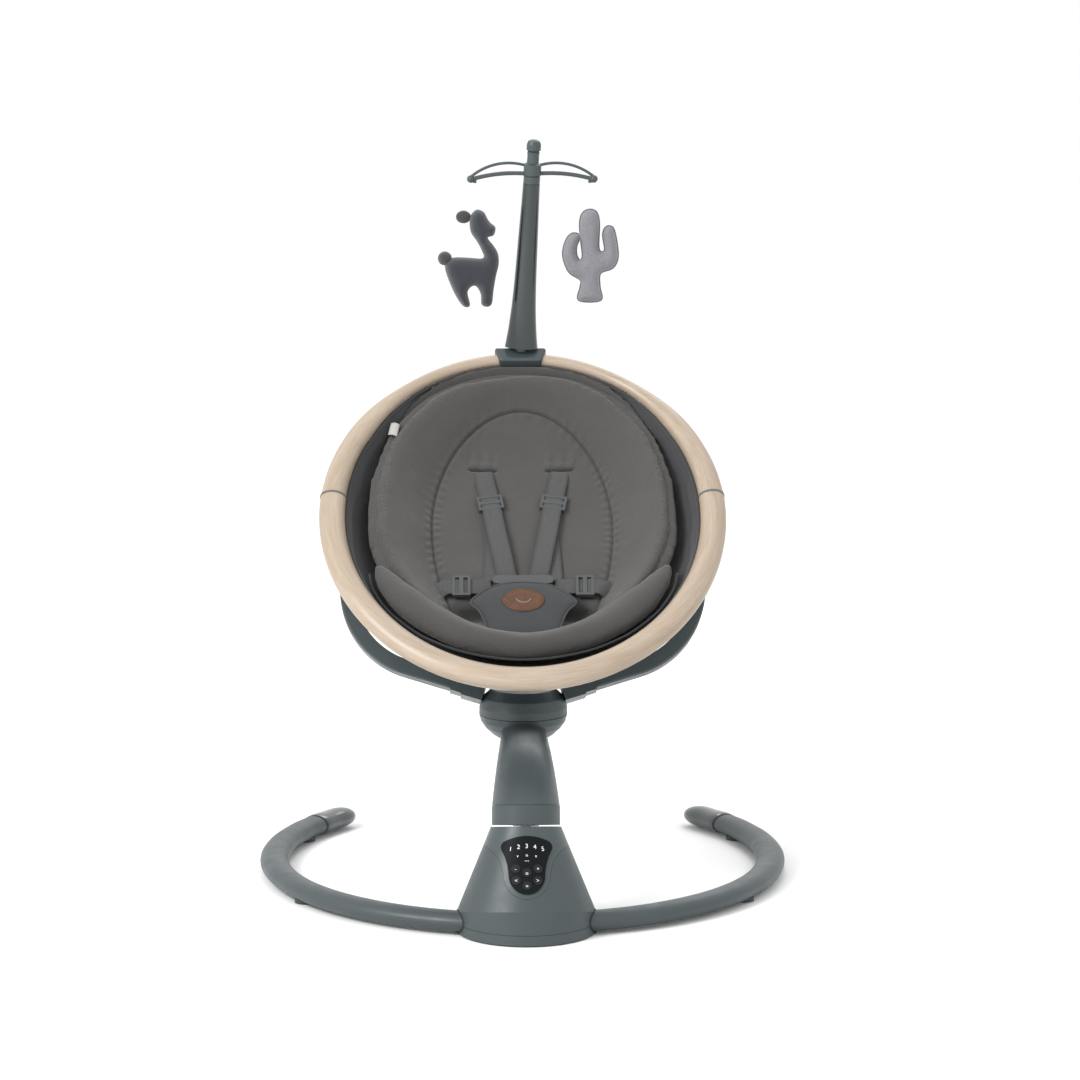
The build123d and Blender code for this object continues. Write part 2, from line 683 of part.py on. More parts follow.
def harness_buckle():
    """Tongue bar across the top of the crotch pad, and the catch under the pad."""
    bar = Pos(0, -68, -46) * Box(72, 13, 10)
    bar = fillet(bar.edges().filter_by(Axis.Z), 5)
    catch = Pos(0, -96, -46.5) * Box(58, 38, 8)
    bar = bar + catch
    cuts = [shoulder_strap(), left_of(shoulder_strap()), waist_strap(), left_of(waist_strap())]
    for cut in cuts:
        bar = bar - cut
    return bar


def pad_outline():
    return [Polyline((-44, -148), (-61, -106), (-38, -82)), ThreePointArc((-38, -82), (0, -76), (38, -82)),
            Polyline((38, -82), (61, -106), (44, -148), (-44, -148))]


def crotch_pad():
    pad = slab(pad_outline(), -42.3, -36)
    return pad & INLAY_TOP


def buckle_patch():
    return Pos(0, -107, -35.1) * extrude(Ellipse(25, 18), 1.6)


# ---------------------------------------------------------------- toy mast, bow and toys
def mast_post():
    post = loft([Pos(0, 0, z) * Ellipse(a, b) for z, a, b in MAST_SECTIONS])
    post = post - rod(7.1, 0, MAST_BORE_TOP)
    return MAST * (post + rod(5, 220, 256))


def bow_arm():
    """One side of the bow: a thin upper rail and a thicker lower rail that meet in a knob."""
    upper = ThreePointArc((6, 0, 5), (42, 0, 7.5), (BOW_REACH, 0, -BOW_DROOP + 1.5))
    lower = ThreePointArc((6, 0, -4.5), (44, 0, -5), (BOW_REACH, 0, -BOW_DROOP - 1.0))
    rails = [sweep(Plane(origin=arc @ 0, z_dir=arc % 0) * Circle(radius), arc)
             for arc, radius in ((upper, 1.8), (lower, 2.6))]
    knob = Pos(BOW_REACH - 1.5, 0, -BOW_DROOP) * Sphere(4.8)
    eye = Pos(STRING_X, 0, 0) * rod(2.2, STRING_TOP + 0.3, -BOW_DROOP)
    return rails[0] + rails[1] + knob + eye


def bow_arms():
    hub = turned([(0, 221.6), (10.2, 221.6), (10.2, 230.4), (9.4, 231), (10.8, 232), (10.8, 245), (7.4, 247),
                  (7.2, 258), (0, 258)])
    hub = MAST * (hub - rod(5.06, 200, 257))
    arms = BOW * bow_arm() + BOW * left_of(bow_arm())
    return hub + (arms - MAST * rod(7, 200, 250))


def bow_cap():
    return MAST * turned([(0, 258), (7.6, 258), (7.6, 260.5), (6.4, 261.5), (8.8, 263), (8.8, 270),
                          (7.0, 274), (3.5, 275.6), (0, 275.8)])


def toy_string(side):
    return BOW * (Pos(side * STRING_X, 0, 0) * rod(STRING_R, STRING_TOP - STRING_LENGTH, STRING_TOP))


def toy(outline, half_t):
    """Flat plush toy with rounded outline, hung under its string; the outline is (x, height under string)."""
    face = make_face(Polyline(*outline, close=True))
    face = fillet(face.vertices(), 5)
    plane = Plane(origin=(BOW.position.X, BOW.position.Y, BOW.position.Z), x_dir=(1, 0, 0), z_dir=(0, -1, 0))
    return extrude(plane * face, half_t, both=True)


TOY_TOP = STRING_TOP - STRING_LENGTH - 0.4


def toy_alpaca():
    x, z = -STRING_X, TOY_TOP
    outline = [(x - 10, z), (x + 12, z - 4), (x + 31, z - 14), (x + 31, z - 30), (x + 8, z - 36),
               (x + 8, z - 62), (x + 14, z - 84), (x + 8, z - 120), (x - 30, z - 120), (x - 44, z - 84),
               (x - 40, z - 62), (x - 16, z - 52)]
    return toy(outline, 17)


def toy_cactus():
    x, z = STRING_X, TOY_TOP
    outline = [(x - 10, z), (x + 10, z), (x + 16, z - 34), (x + 34, z - 34), (x + 34, z - 66),
               (x + 17, z - 78), (x + 19, z - 112), (x - 19, z - 112), (x - 17, z - 90), (x - 34, z - 78),
               (x - 34, z - 46), (x - 16, z - 50)]
    return toy(outline, 15)


# ---------------------------------------------------------------- all nodes
def build():
    nodes["hub_base_pan"] = hub_base_pan()
    nodes["hub_housing"] = hub_housing()
    nodes["hub_collar"] = hub_collar()
    nodes["hub_screws"] = hub_screws()
    nodes["control_panel"] = control_panel()
    nodes["control_board"] = HUB * control_board()
    nodes["bearing_bridge"] = bearing_bridge()
    nodes["swing_bearings"] = swing_bearings()
    nodes["swing_motor"] = swing_motor()
    nodes["motor_bracket"] = motor_bracket()
    nodes["dc_inlet"] = dc_inlet()
    nodes["frame_tube_right"] = frame_tube()
    nodes["frame_tube_left"] = left_of(frame_tube())
    nodes["end_cap_right"] = end_cap()
    nodes["end_cap_left"] = left_of(end_cap())
    nodes["tube_trim_rings"] = trim_rings()
    nodes["foot_pads"] = foot_pads()
    for name, place in button_places().items():
        nodes[name] = panel_button(place)
    nodes["drive_gear"] = drive_gear()
    nodes["drive_pinion"] = drive_pinion()
    nodes["swing_shaft"] = swing_shaft()
    nodes["arm_collar"] = arm_collar()
    nodes["arm_upper_shell"], nodes["arm_lower_shell"] = arm_shells()
    nodes["arm_core_tube"] = arm_core_tube()
    nodes["swivel_bowl"] = swivel_bowl()
    nodes["swivel_bolt"] = swivel_bolt()
    nodes["swivel_bearing"] = swivel_bearing()
    nodes["swivel_housing"] = swivel_housing()
    nodes["fork_arm_right"] = fork_arm()
    nodes["fork_arm_left"] = left_of(fork_arm())
    nodes["fork_brackets"] = both_sides(fork_bracket())
    nodes["recline_pins"] = both_sides(recline_pin())
    nodes["ring_front"] = RING * HOOP_FRONT
    nodes["ring_rear_right"] = RING * HOOP_REAR
    nodes["ring_rear_left"] = RING * left_of(HOOP_REAR)
    nodes["ring_joint_bands"] = RING * both_sides(joint_band())
    nodes["recline_lugs"] = RING * both_sides(recline_lug())
    nodes["mast_socket"] = mast_socket()
    nodes["seat_liner"] = RING * seat_liner()
    nodes["seat_inlay"] = RING * seat_inlay()
    nodes["front_roll"] = RING * front_roll()
    nodes["shoulder_straps"] = RING * both_sides(shoulder_strap())
    nodes["waist_straps"] = RING * both_sides(waist_strap())
    nodes["strap_adjusters"] = RING * strap_adjusters()
    nodes["harness_buckle"] = RING * harness_buckle()
    nodes["crotch_pad"] = RING * crotch_pad()
    nodes["buckle_patch"] = RING * buckle_patch()
    nodes["mast_post"] = mast_post()
    nodes["bow_arms"] = bow_arms()
    nodes["bow_cap"] = bow_cap()
    nodes["toy_string_right"] = toy_string(1)
    nodes["toy_string_left"] = toy_string(-1)
    nodes["toy_alpaca"] = toy_alpaca()
    nodes["toy_cactus"] = toy_cactus()
    for name, shape in nodes.items():
        export_step(shape, "parts/" + name + ".step")


build()
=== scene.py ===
"""Looks of the baby swing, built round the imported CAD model. Metres, +Z up, -Y is the front."""

import json
import math
from math import cos, exp, hypot, pi, radians, sin, sqrt

import bpy
import numpy as np
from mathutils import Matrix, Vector, noise


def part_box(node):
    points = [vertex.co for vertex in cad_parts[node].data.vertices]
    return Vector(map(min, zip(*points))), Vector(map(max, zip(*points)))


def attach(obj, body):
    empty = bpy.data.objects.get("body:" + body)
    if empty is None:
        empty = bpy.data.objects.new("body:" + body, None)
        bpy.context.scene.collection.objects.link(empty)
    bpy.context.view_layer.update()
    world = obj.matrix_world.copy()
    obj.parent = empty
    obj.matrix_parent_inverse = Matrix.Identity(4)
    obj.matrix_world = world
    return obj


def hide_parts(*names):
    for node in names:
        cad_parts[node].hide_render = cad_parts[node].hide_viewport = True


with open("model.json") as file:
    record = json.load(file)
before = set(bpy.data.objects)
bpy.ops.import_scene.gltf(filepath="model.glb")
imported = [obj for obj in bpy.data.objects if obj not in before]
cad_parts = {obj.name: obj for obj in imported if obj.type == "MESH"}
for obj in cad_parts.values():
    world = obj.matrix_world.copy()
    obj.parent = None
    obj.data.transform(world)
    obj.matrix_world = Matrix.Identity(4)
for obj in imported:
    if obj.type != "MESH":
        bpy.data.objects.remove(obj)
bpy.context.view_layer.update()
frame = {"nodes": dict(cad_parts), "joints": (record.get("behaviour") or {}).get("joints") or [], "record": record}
MM = 0.001
joints = {joint["name"]: joint for joint in frame["joints"]}

# ---- the seat's own frame: x across, v up the hoop's plane, n square to it
TILT = radians(39)
V_DIR = Vector((0, cos(TILT), sin(TILT)))
N_DIR = Vector((0, -sin(TILT), cos(TILT)))
PIVOT_V = 27
PIVOT_DROP = 28
HOOP = Vector(joints["seat_recline"]["pos_m"]) - (V_DIR * PIVOT_V - N_DIR * PIVOT_DROP) * MM
HOOP_A = 229.0
HOOP_B = 260.0


def seat(x, v, n):
    """Point of the seat's frame, given in millimetres, in the shared frame."""
    return HOOP + (Vector((x, 0, 0)) + V_DIR * v + N_DIR * n) * MM


# ------------------------------------------------------------------ small maths
def smooth(t):
    t = min(max(t, 0.0), 1.0)
    return t * t * (3 - 2 * t)


def bump(distance, width):
    return exp(-(distance / width) ** 2)


def spline(points, steps, closed=False):
    """Catmull-Rom curve through the points, steps per span."""
    count = len(points)
    spans = count if closed else count - 1
    result = []
    for i in range(spans):
        if closed:
            p = [Vector(points[(i + k) % count]) for k in (-1, 0, 1, 2)]
        else:
            p = [Vector(points[min(max(i + k, 0), count - 1)]) for k in (-1, 0, 1, 2)]
        for j in range(steps):
            t = j / steps
            a = p[1] * 2 + (p[2] - p[0]) * t
            b = (p[0] * 2 - p[1] * 5 + p[2] * 4 - p[3]) * t * t
            c = (p[1] * 3 - p[0] - p[2] * 3 + p[3]) * t * t * t
            result.append((a + b + c) / 2)
    if not closed:
        result.append(Vector(points[-1]))
    return result


def along(points, t):
    """Point at a share t of a polyline of evenly spread points."""
    place = t * (len(points) - 1)
    i = min(int(place), len(points) - 2)
    return points[i].lerp(points[i + 1], place - i)


# ------------------------------------------------------------------ mesh making
def mesh_object(name, verts, faces, uvs=None, shade=None):
    """New mesh piece; uvs and shade are per vertex."""
    mesh = bpy.data.meshes.new(name)
    mesh.from_pydata([tuple(v) for v in verts], [], faces)
    mesh.update()
    if uvs is not None:
        layer = mesh.uv_layers.new(name="UVMap")
        for loop in mesh.loops:
            layer.data[loop.index].uv = uvs[loop.vertex_index]
    if shade is not None:
        attribute = mesh.attributes.new("shade", "FLOAT", "POINT")
        attribute.data.foreach_set("value", np.array(shade, np.float32))
    mesh.polygons.foreach_set("use_smooth", [True] * len(mesh.polygons))
    piece = bpy.data.objects.new(name, mesh)
    bpy.context.scene.collection.objects.link(piece)
    return piece


def ring_faces(rows, across, closed_rows=False):
    """Quads of a tube whose rows are rings of the same number of points."""
    faces = []
    for i in range(rows if closed_rows else rows - 1):
        for j in range(across):
            a, b = i * across + j, i * across + (j + 1) % across
            c, d = ((i + 1) % rows) * across + (j + 1) % across, ((i + 1) % rows) * across + j
            faces.append((a, b, c, d))
    return faces


def capped_faces(rows, sides):
    """Quads of an open tube of rings and a face across each end."""
    first = tuple(range(sides - 1, -1, -1))
    last = tuple((rows - 1) * sides + j for j in range(sides))
    return ring_faces(rows, sides) + [first, last]


def swept(name, centres, section, sides, closed=False):
    """Tube along centres; section(t, angle, tangent) gives the offset from the centre."""
    rows = len(centres)
    verts, uvs = [], []
    run = 0.0
    for i, centre in enumerate(centres):
        before = centres[i - 1] if (i or closed) else centres[0]
        after = centres[(i + 1) % rows] if (closed or i < rows - 1) else centres[-1]
        tangent = (after - before).normalized()
        if i:
            run += (centre - centres[i - 1]).length
        for j in range(sides):
            angle = 2 * pi * j / sides
            verts.append(centre + section(i / (rows - 1), angle, tangent))
            uvs.append((0.03 * j / sides, run))
    faces = ring_faces(rows, sides, True) if closed else capped_faces(rows, sides)
    return mesh_object(name, verts, faces, uvs)


def cord_tube(name, centres, radius, closed=False, normal=N_DIR):
    """Round tube, such as piping."""
    def section(t, angle, tangent):
        side = tangent.cross(normal).normalized()
        up = side.cross(tangent)
        return (side * cos(angle) + up * sin(angle)) * radius
    return swept(name, centres, section, 8, closed)


def ribbon(name, centres, width, thick, normal=N_DIR):
    """Flat strap with rounded edges; its face looks along normal."""
    def section(t, angle, tangent):
        side = tangent.cross(normal).normalized()
        up = side.cross(tangent)
        c, s = cos(angle), sin(angle)
        flat = (abs(c) ** 0.25) * (1 if c > 0 else -1)
        high = (abs(s) ** 0.6) * (1 if s > 0 else -1)
        return side * flat * width / 2 + up * high * thick / 2
    piece = swept(name, centres, section, 24)
    layer = piece.data.uv_layers["UVMap"]
    for loop in piece.data.loops:
        j = loop.vertex_index % 24
        layer.data[loop.index].uv[0] = width * (0.5 + 0.5 * cos(2 * pi * j / 24))
    return piece


def subdivided(piece, levels=1):
    modifier = piece.modifiers.new("Subdivision", "SUBSURF")
    modifier.levels = modifier.render_levels = levels
    return piece


def applied(piece):
    """The piece with its modifiers applied to its mesh."""
    graph = bpy.context.evaluated_depsgraph_get()
    mesh = bpy.data.meshes.new_from_object(piece.evaluated_get(graph))
    piece.modifiers.clear()
    piece.data = mesh
    mesh.polygons.foreach_set("use_smooth", [True] * len(mesh.polygons))
    return piece


def places(mesh):
    """The mesh's points as an array, one row each."""
    co = np.zeros(len(mesh.vertices) * 3, np.float32)
    mesh.vertices.foreach_get("co", co)
    return co.reshape(-1, 3)


def puffed(piece, voxel, cap, pressure=4.0):
    """Swell a closed piece with a cloth simulation; no point moves more than cap."""
    remesh = piece.modifiers.new("Remesh", "REMESH")
    remesh.mode = "VOXEL"
    remesh.voxel_size = voxel
    applied(piece)
    start = places(piece.data)
    cloth = piece.modifiers.new("Cloth", "CLOTH")
    cloth.settings.use_pressure = True
    cloth.settings.uniform_pressure_force = pressure
    cloth.settings.effector_weights.gravity = 0
    cloth.point_cache.frame_start = 1
    cloth.point_cache.frame_end = 20
    for number in range(1, 21):
        bpy.context.scene.frame_set(number)
    applied(piece)
    bpy.context.scene.frame_set(1)
    moved = places(piece.data) - start
    far = np.linalg.norm(moved, axis=1, keepdims=True)
    moved *= np.minimum(1.0, cap / np.maximum(far, 1e-9))
    piece.data.vertices.foreach_set("co", (start + moved).ravel())
    piece.data.update()
    return piece


def seat_places(mesh):
    """The mesh's points as (x, v, n) in the seat's frame, in millimetres."""
    off = (places(mesh) - np.array(HOOP)) / MM
    return off @ np.array([(1, 0, 0), V_DIR, N_DIR]).T


# ------------------------------------------------------------------ materials
class Shader:
    """A material with a Principled shader and short calls to add nodes."""

    def __init__(self, name, roughness, **sockets):
        self.material = bpy.data.materials.new(name)
        self.material.use_nodes = True
        self.tree = self.material.node_tree
        self.bsdf = self.tree.nodes["Principled BSDF"]
        self.bsdf.inputs["Roughness"].default_value = roughness
        for key, value in sockets.items():
            self.bsdf.inputs[key.replace("_", " ")].default_value = value
        self.height = None

    def add(self, kind, values, output=0, **settings):
        node = self.tree.nodes.new("ShaderNode" + kind)
        for key, value in settings.items():
            setattr(node, key, value)
        for key, value in values.items():
            if isinstance(value, bpy.types.NodeSocket):
                self.tree.links.new(value, node.inputs[key])
            else:
                node.inputs[key].default_value = value
        return node.outputs[output]

    def coords(self, kind="Object"):
        return self.tree.nodes.new("ShaderNodeTexCoord").outputs[kind]

    def math(self, operation, a, b=0.0):
        return self.add("Math", {0: a, 1: b}, operation=operation)

    def noise(self, vector, scale, detail=3.0, roughness=0.55, distortion=0.0):
        return self.add("TexNoise", {"Vector": vector, "Scale": scale, "Detail": detail,
                                     "Roughness": roughness, "Distortion": distortion})

    def ramp(self, factor, stops):
        socket = self.add("ValToRGB", {"Fac": factor})
        band = socket.node.color_ramp
        while len(band.elements) < len(stops):
            band.elements.new(0.5)
        for element, (place, colour) in zip(band.elements, stops):
            element.position = place
            element.color = (*colour, 1)
        return socket

    def range(self, factor, low, high, start=0.0, end=1.0):
        return self.add("MapRange", {"Value": factor, "From Min": start, "From Max": end,
                                     "To Min": low, "To Max": high})

    def mix(self, factor, a, b, blend="MIX"):
        node = self.tree.nodes.new("ShaderNodeMix")
        node.data_type = "RGBA"
        node.blend_type = blend
        for index, value in ((0, factor), (6, a), (7, b)):
            if isinstance(value, bpy.types.NodeSocket):
                self.tree.links.new(value, node.inputs[index])
            else:
                node.inputs[index].default_value = (*value, 1) if index else value
        return node.outputs[2]

    def colour(self, socket):
        self.tree.links.new(socket, self.bsdf.inputs["Base Color"])

    def roughness(self, socket):
        self.tree.links.new(socket, self.bsdf.inputs["Roughness"])

    def relief(self, socket, distance, strength=1.0):
        values = {"Height": socket, "Distance": distance, "Strength": strength}
        if self.height is not None:
            values["Normal"] = self.height
        self.height = self.add("Bump", values)
        self.tree.links.new(self.height, self.bsdf.inputs["Normal"])


def shades(colour, low, high):
    return tuple(c * low for c in colour), tuple(min(c * high, 1) for c in colour)


def plastic(name, colour, roughness=0.42, grain=0.00006):
    """Moulded plastic: fine spark-eroded grain, faint tone changes and handling marks."""
    s = Shader(name, roughness)
    place = s.coords()
    low, high = shades(colour, 0.95, 1.05)
    s.colour(s.ramp(s.noise(place, 14, 4), ((0.3, low), (0.7, high))))
    s.roughness(s.range(s.noise(place, 45, 5), roughness - 0.05, roughness + 0.06, 0.3, 0.7))
    s.relief(s.noise(place, 1500, 2), grain)
    return s.material


def gloss(name, colour, roughness=0.12):
    """Gloss plastic: clear reflections with a very slight waviness and faint dust."""
    s = Shader(name, roughness)
    s.bsdf.inputs["Coat Weight"].default_value = 0.6
    s.bsdf.inputs["Coat Roughness"].default_value = 0.06
    place = s.coords()
    low, high = shades(colour, 0.85, 1.15)
    s.colour(s.ramp(s.noise(place, 9, 3), ((0.3, low), (0.7, high))))
    s.roughness(s.range(s.noise(place, 90, 6), roughness, roughness + 0.07, 0.35, 0.75))
    s.relief(s.noise(place, 22, 1), 0.00015)
    return s.material


def hoop_wood(name):
    """Pale bent wood: grain lines follow the hoop."""
    s = Shader(name, 0.42)
    s.bsdf.inputs["Coat Weight"].default_value = 0.25
    s.bsdf.inputs["Coat Roughness"].default_value = 0.3
    turned = s.add("VectorRotate", {"Vector": s.coords(), "Center": HOOP, "Angle": -TILT},
                   rotation_type="X_AXIS")
    local = s.add("VectorMath", {0: turned, 1: HOOP}, operation="SUBTRACT")
    split = s.tree.nodes.new("ShaderNodeSeparateXYZ")
    s.tree.links.new(local, split.inputs[0])
    x, v, n = split.outputs
    past_seam = s.math("SUBTRACT", v, PIVOT_V * MM)
    angle = s.math("ARCTAN2", past_seam, x)
    radial = s.math("SQRT", s.math("ADD", s.math("MULTIPLY", x, x), s.math("MULTIPLY", v, v)))

    def grain(lengthwise, crosswise):
        return s.add("CombineXYZ", {0: s.math("MULTIPLY", angle, lengthwise),
                                    1: s.math("MULTIPLY", radial, crosswise),
                                    2: s.math("MULTIPLY", n, crosswise)})

    broad = s.noise(grain(1.4, 55), 1.0, 4, 0.6, 0.6)
    fine = s.noise(grain(9, 520), 1.0, 5, 0.6)
    pores = s.noise(grain(26, 1500), 1.0, 2, 0.5)
    tone = s.ramp(broad, ((0.25, (0.325, 0.257, 0.19)), (0.5, (0.385, 0.31, 0.235)),
                          (0.75, (0.445, 0.365, 0.285))))
    lines = s.ramp(fine, ((0.3, (0.84, 0.8, 0.75)), (0.62, (1, 1, 1))))
    s.colour(s.mix(0.8, tone, lines, "MULTIPLY"))
    s.roughness(s.range(fine, 0.36, 0.5, 0.3, 0.7))
    s.relief(fine, 0.0001, 0.5)
    s.relief(pores, 0.00005, 0.5)
    return s.material


def weave_height(s, uv, pitch):
    """Plain weave from two crossed waves over the cloth's own lengths."""
    split = s.tree.nodes.new("ShaderNodeSeparateXYZ")
    s.tree.links.new(uv, split.inputs[0])
    waves = []
    for axis in (0, 1):
        waves.append(s.math("SINE", s.math("MULTIPLY", split.outputs[axis], pi / pitch)))
    return s.math("MULTIPLY", waves[0], waves[1])


def knit(name, colour, pitch=0.0011, melange=0.3, sheen=0.25):
    """Melange cloth: crossed threads, light and dark fibres, soft tone changes, and painted shade from the mesh's
    'shade' attribute in seams, creases and hollows.
    """
    s = Shader(name, 0.88)
    s.bsdf.inputs["Sheen Weight"].default_value = sheen
    s.bsdf.inputs["Sheen Roughness"].default_value = 0.5
    s.bsdf.inputs["Specular IOR Level"].default_value = 0.25
    uv = s.coords("UV")
    stretched = s.add("VectorMath", {0: uv, 1: (600, 2100, 1200)}, operation="MULTIPLY")
    low, high = shades(colour, 1 - melange, 1 + melange * 1.3)
    fibres = s.ramp(s.noise(stretched, 1.0, 3, 0.7), ((0.32, low), (0.5, colour), (0.7, high)))
    patches = s.ramp(s.noise(s.coords(), 18, 4), ((0.3, (0.9, 0.9, 0.9)), (0.7, (1, 1, 1))))
    shaded = s.mix(1.0, fibres, patches, "MULTIPLY")
    # painted shade: the 'shade' attribute darkens the cloth towards a quarter of its colour where shade falls in
    # seams, creases and hollows
    crease = s.tree.nodes.new("ShaderNodeAttribute")
    crease.attribute_name = "shade"
    dark = s.range(crease.outputs["Fac"], 0.0, 0.75)
    s.colour(s.mix(dark, shaded, tuple(c * 0.25 for c in colour)))
    s.relief(s.noise(s.coords(), 60, 3), 0.0006, 0.4)
    s.relief(weave_height(s, uv, pitch), 0.00035, 0.7)
    s.relief(s.noise(stretched, 1.0, 2), 0.0002, 0.6)
    return s.material


def webbing(name, colour):
    """Narrow woven webbing: fine ribs across, with a plainer selvedge."""
    s = Shader(name, 0.72)
    s.bsdf.inputs["Sheen Weight"].default_value = 0.15
    s.bsdf.inputs["Specular IOR Level"].default_value = 0.35
    uv = s.coords("UV")
    split = s.tree.nodes.new("ShaderNodeSeparateXYZ")
    s.tree.links.new(uv, split.inputs[0])
    slant = s.math("ADD", split.outputs[1], s.math("MULTIPLY", split.outputs[0], 0.5))
    ribs = s.math("SINE", s.math("MULTIPLY", slant, 2 * pi / 0.0014))
    threads = s.math("SINE", s.math("MULTIPLY", split.outputs[0], 2 * pi / 0.0011))
    low, high = shades(colour, 0.86, 1.12)
    s.colour(s.ramp(s.noise(uv, 420, 4), ((0.3, low), (0.7, high))))
    s.relief(ribs, 0.00022, 0.7)
    s.relief(threads, 0.00015, 0.6)
    return s.material


def felt(name, colour, sheen=0.4):
    """Pressed felt: matted fibres with light and dark hairs."""
    s = Shader(name, 0.95)
    s.bsdf.inputs["Sheen Weight"].default_value = sheen
    s.bsdf.inputs["Sheen Roughness"].default_value = 0.6
    s.bsdf.inputs["Specular IOR Level"].default_value = 0.15
    place = s.coords()
    low, high = shades(colour, 0.7, 1.35)
    s.colour(s.ramp(s.noise(place, 850, 5, 0.7, 1.2), ((0.34, low), (0.5, colour), (0.68, high))))
    s.relief(s.noise(place, 900, 4, 0.7, 1.5), 0.0006, 0.8)
    s.relief(s.noise(place, 120, 3), 0.0008, 0.4)
    return s.material


def leather(name, colour):
    """Tan leather look: pebbled grain relief and tone that changes at random."""
    s = Shader(name, 0.5)
    s.bsdf.inputs["Specular IOR Level"].default_value = 0.4
    place = s.coords()
    cells = s.add("TexVoronoi", {"Vector": place, "Scale": 1100.0}, feature="F1")
    low, high = shades(colour, 0.72, 1.2)
    s.colour(s.ramp(s.noise(place, 160, 5), ((0.3, low), (0.7, high))))
    s.roughness(s.range(s.noise(place, 220, 3), 0.42, 0.6, 0.3, 0.7))
    s.relief(cells, 0.0003, 0.6)
    return s.material


def metal(name, colour, roughness=0.32):
    """Machined steel with fine turning marks."""
    s = Shader(name, roughness, Metallic=1.0)
    place = s.coords()
    low, high = shades(colour, 0.85, 1.1)
    s.colour(s.ramp(s.noise(place, 60, 4), ((0.3, low), (0.7, high))))
    marks = s.add("VectorMath", {0: place, 1: (300, 300, 4000)}, operation="MULTIPLY")
    s.roughness(s.range(s.noise(marks, 1.0, 3), roughness - 0.08, roughness + 0.1, 0.3, 0.7))
    s.relief(s.noise(marks, 1.0, 3), 0.00004)
    return s.material


def line(name, colour, roughness=0.45):
    """Small printed or stitched detail: thread or ink with slight unevenness."""
    s = Shader(name, roughness)
    low, high = shades(colour, 0.88, 1.08)
    s.colour(s.ramp(s.noise(s.coords(), 1800, 3), ((0.35, low), (0.65, high))))
    s.relief(s.noise(s.coords(), 2600, 2), 0.00008)
    return s.material


SLATE = (0.042, 0.056, 0.06)
MATERIALS = {
    "slate_plastic": plastic("slate_plastic", SLATE),
    "slate_light": plastic("slate_light", (0.047, 0.061, 0.065), 0.36),
    "slate_dark": plastic("slate_dark", (0.028, 0.036, 0.04), 0.5),
    "panel_gloss": plastic("panel_gloss", (0.008, 0.009, 0.01), 0.38),
    "button_gloss": plastic("button_gloss", (0.02, 0.022, 0.024), 0.34),
    "mast_gloss": gloss("mast_gloss", (0.012, 0.019, 0.021), 0.14),
    "wood": hoop_wood("wood"),
    "seam_grey": plastic("seam_grey", (0.1, 0.112, 0.115), 0.5),
    "liner_fabric": knit("liner_fabric", (0.052, 0.053, 0.056), 0.0012, 0.18, 0.15),
    "inlay_fabric": knit("inlay_fabric", (0.072, 0.07, 0.067), 0.0011, 0.34),
    "webbing": webbing("webbing", (0.066, 0.067, 0.068)),
    "buckle_plastic": plastic("buckle_plastic", (0.066, 0.068, 0.07), 0.36),
    "pad_fabric": knit("pad_fabric", (0.05, 0.053, 0.056), 0.0009, 0.15, 0.15),
    "patch_leather": leather("patch_leather", (0.1, 0.043, 0.02)),
    "felt_dark": felt("felt_dark", (0.022, 0.026, 0.033)),
    "felt_light": felt("felt_light", (0.2, 0.197, 0.215), 0.3),
    "nylon": plastic("nylon", (0.78, 0.79, 0.78), 0.3),
    "steel": metal("steel", (0.58, 0.58, 0.6)),
    "rubber": plastic("rubber", (0.014, 0.015, 0.016), 0.75, 0.00012),
    "board_green": plastic("board_green", (0.02, 0.11, 0.05), 0.35),
    "gear_nylon": plastic("gear_nylon", (0.7, 0.66, 0.56), 0.45),
    "motor_can": metal("motor_can", (0.4, 0.41, 0.42), 0.4),
}
PRINT = line("print", (0.78, 0.79, 0.8))
PATCH_INK = line("emblem", (0.3, 0.29, 0.27), 0.7)
TAG = line("tag", (0.42, 0.42, 0.4), 0.8)
CAP_GLOSS = gloss("cap_gloss", (0.02, 0.028, 0.031), 0.2)
EDGE = line("toy_edge", (0.095, 0.1, 0.108), 0.85)
DARK_FELT = felt("felt_ear", (0.035, 0.034, 0.038))


for dull in ("panel_gloss", "button_gloss"):
    MATERIALS[dull].node_tree.nodes["Principled BSDF"].inputs["Specular IOR Level"].default_value = 0.06


def finish_piece(piece, body, material):
    piece.data.materials.clear()
    piece.data.materials.append(material)
    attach(piece, body)
    return piece


def dress_cad():
    """Better materials for the CAD nodes that stay."""
    slots = {part["node"]: part["material_slot"] for part in frame["record"]["subparts"]}
    for name, node in frame["nodes"].items():
        node.data.materials.clear()
        node.data.materials.append(CAP_GLOSS if name.startswith("end_cap") else MATERIALS[slots[name]])


# ------------------------------------------------------------------ seat fabric
INLAY_A = 190.0
INLAY_TOP = 246.0        # half lengths of the inlay's outline above and below its middle
INLAY_BOTTOM = 182.0
INLAY_MIDDLE_V = 4.0
INLAY_PROFILE = ((0, -69), (60, -68.5), (106, -62), (140, -48), (165, -33), (180, -21), (190, -13))
INLAY_HALF_T = 9.0
ROLL_ROUTE = ((-178, -74, -12), (-166, -95, -15), (-143, -122, -18), (-107, -151, -21), (-61, -175, -23),
              (0, -186, -24), (61, -175, -23), (107, -151, -21), (143, -122, -18), (166, -95, -15),
              (178, -74, -12))
SEAM_A = 109.0
SEAM_TOP = 174.0
SEAM_BOTTOM = 206.0
SEAM_V = 20.0
SLOT_X = 47.0
SLOT_V = 116.0
SLOT_HALF_W = 20.0
PUCKERS = 62             # ripples of the cloth in one turn round the seam
POCKET_X = 66.0          # hollows where the waist straps come out beside the pad, with painted shade in them
POCKET_V = -116.0
UNDERSIDE_GAP = 4.5      # how far the inlay's underside stays above the liner


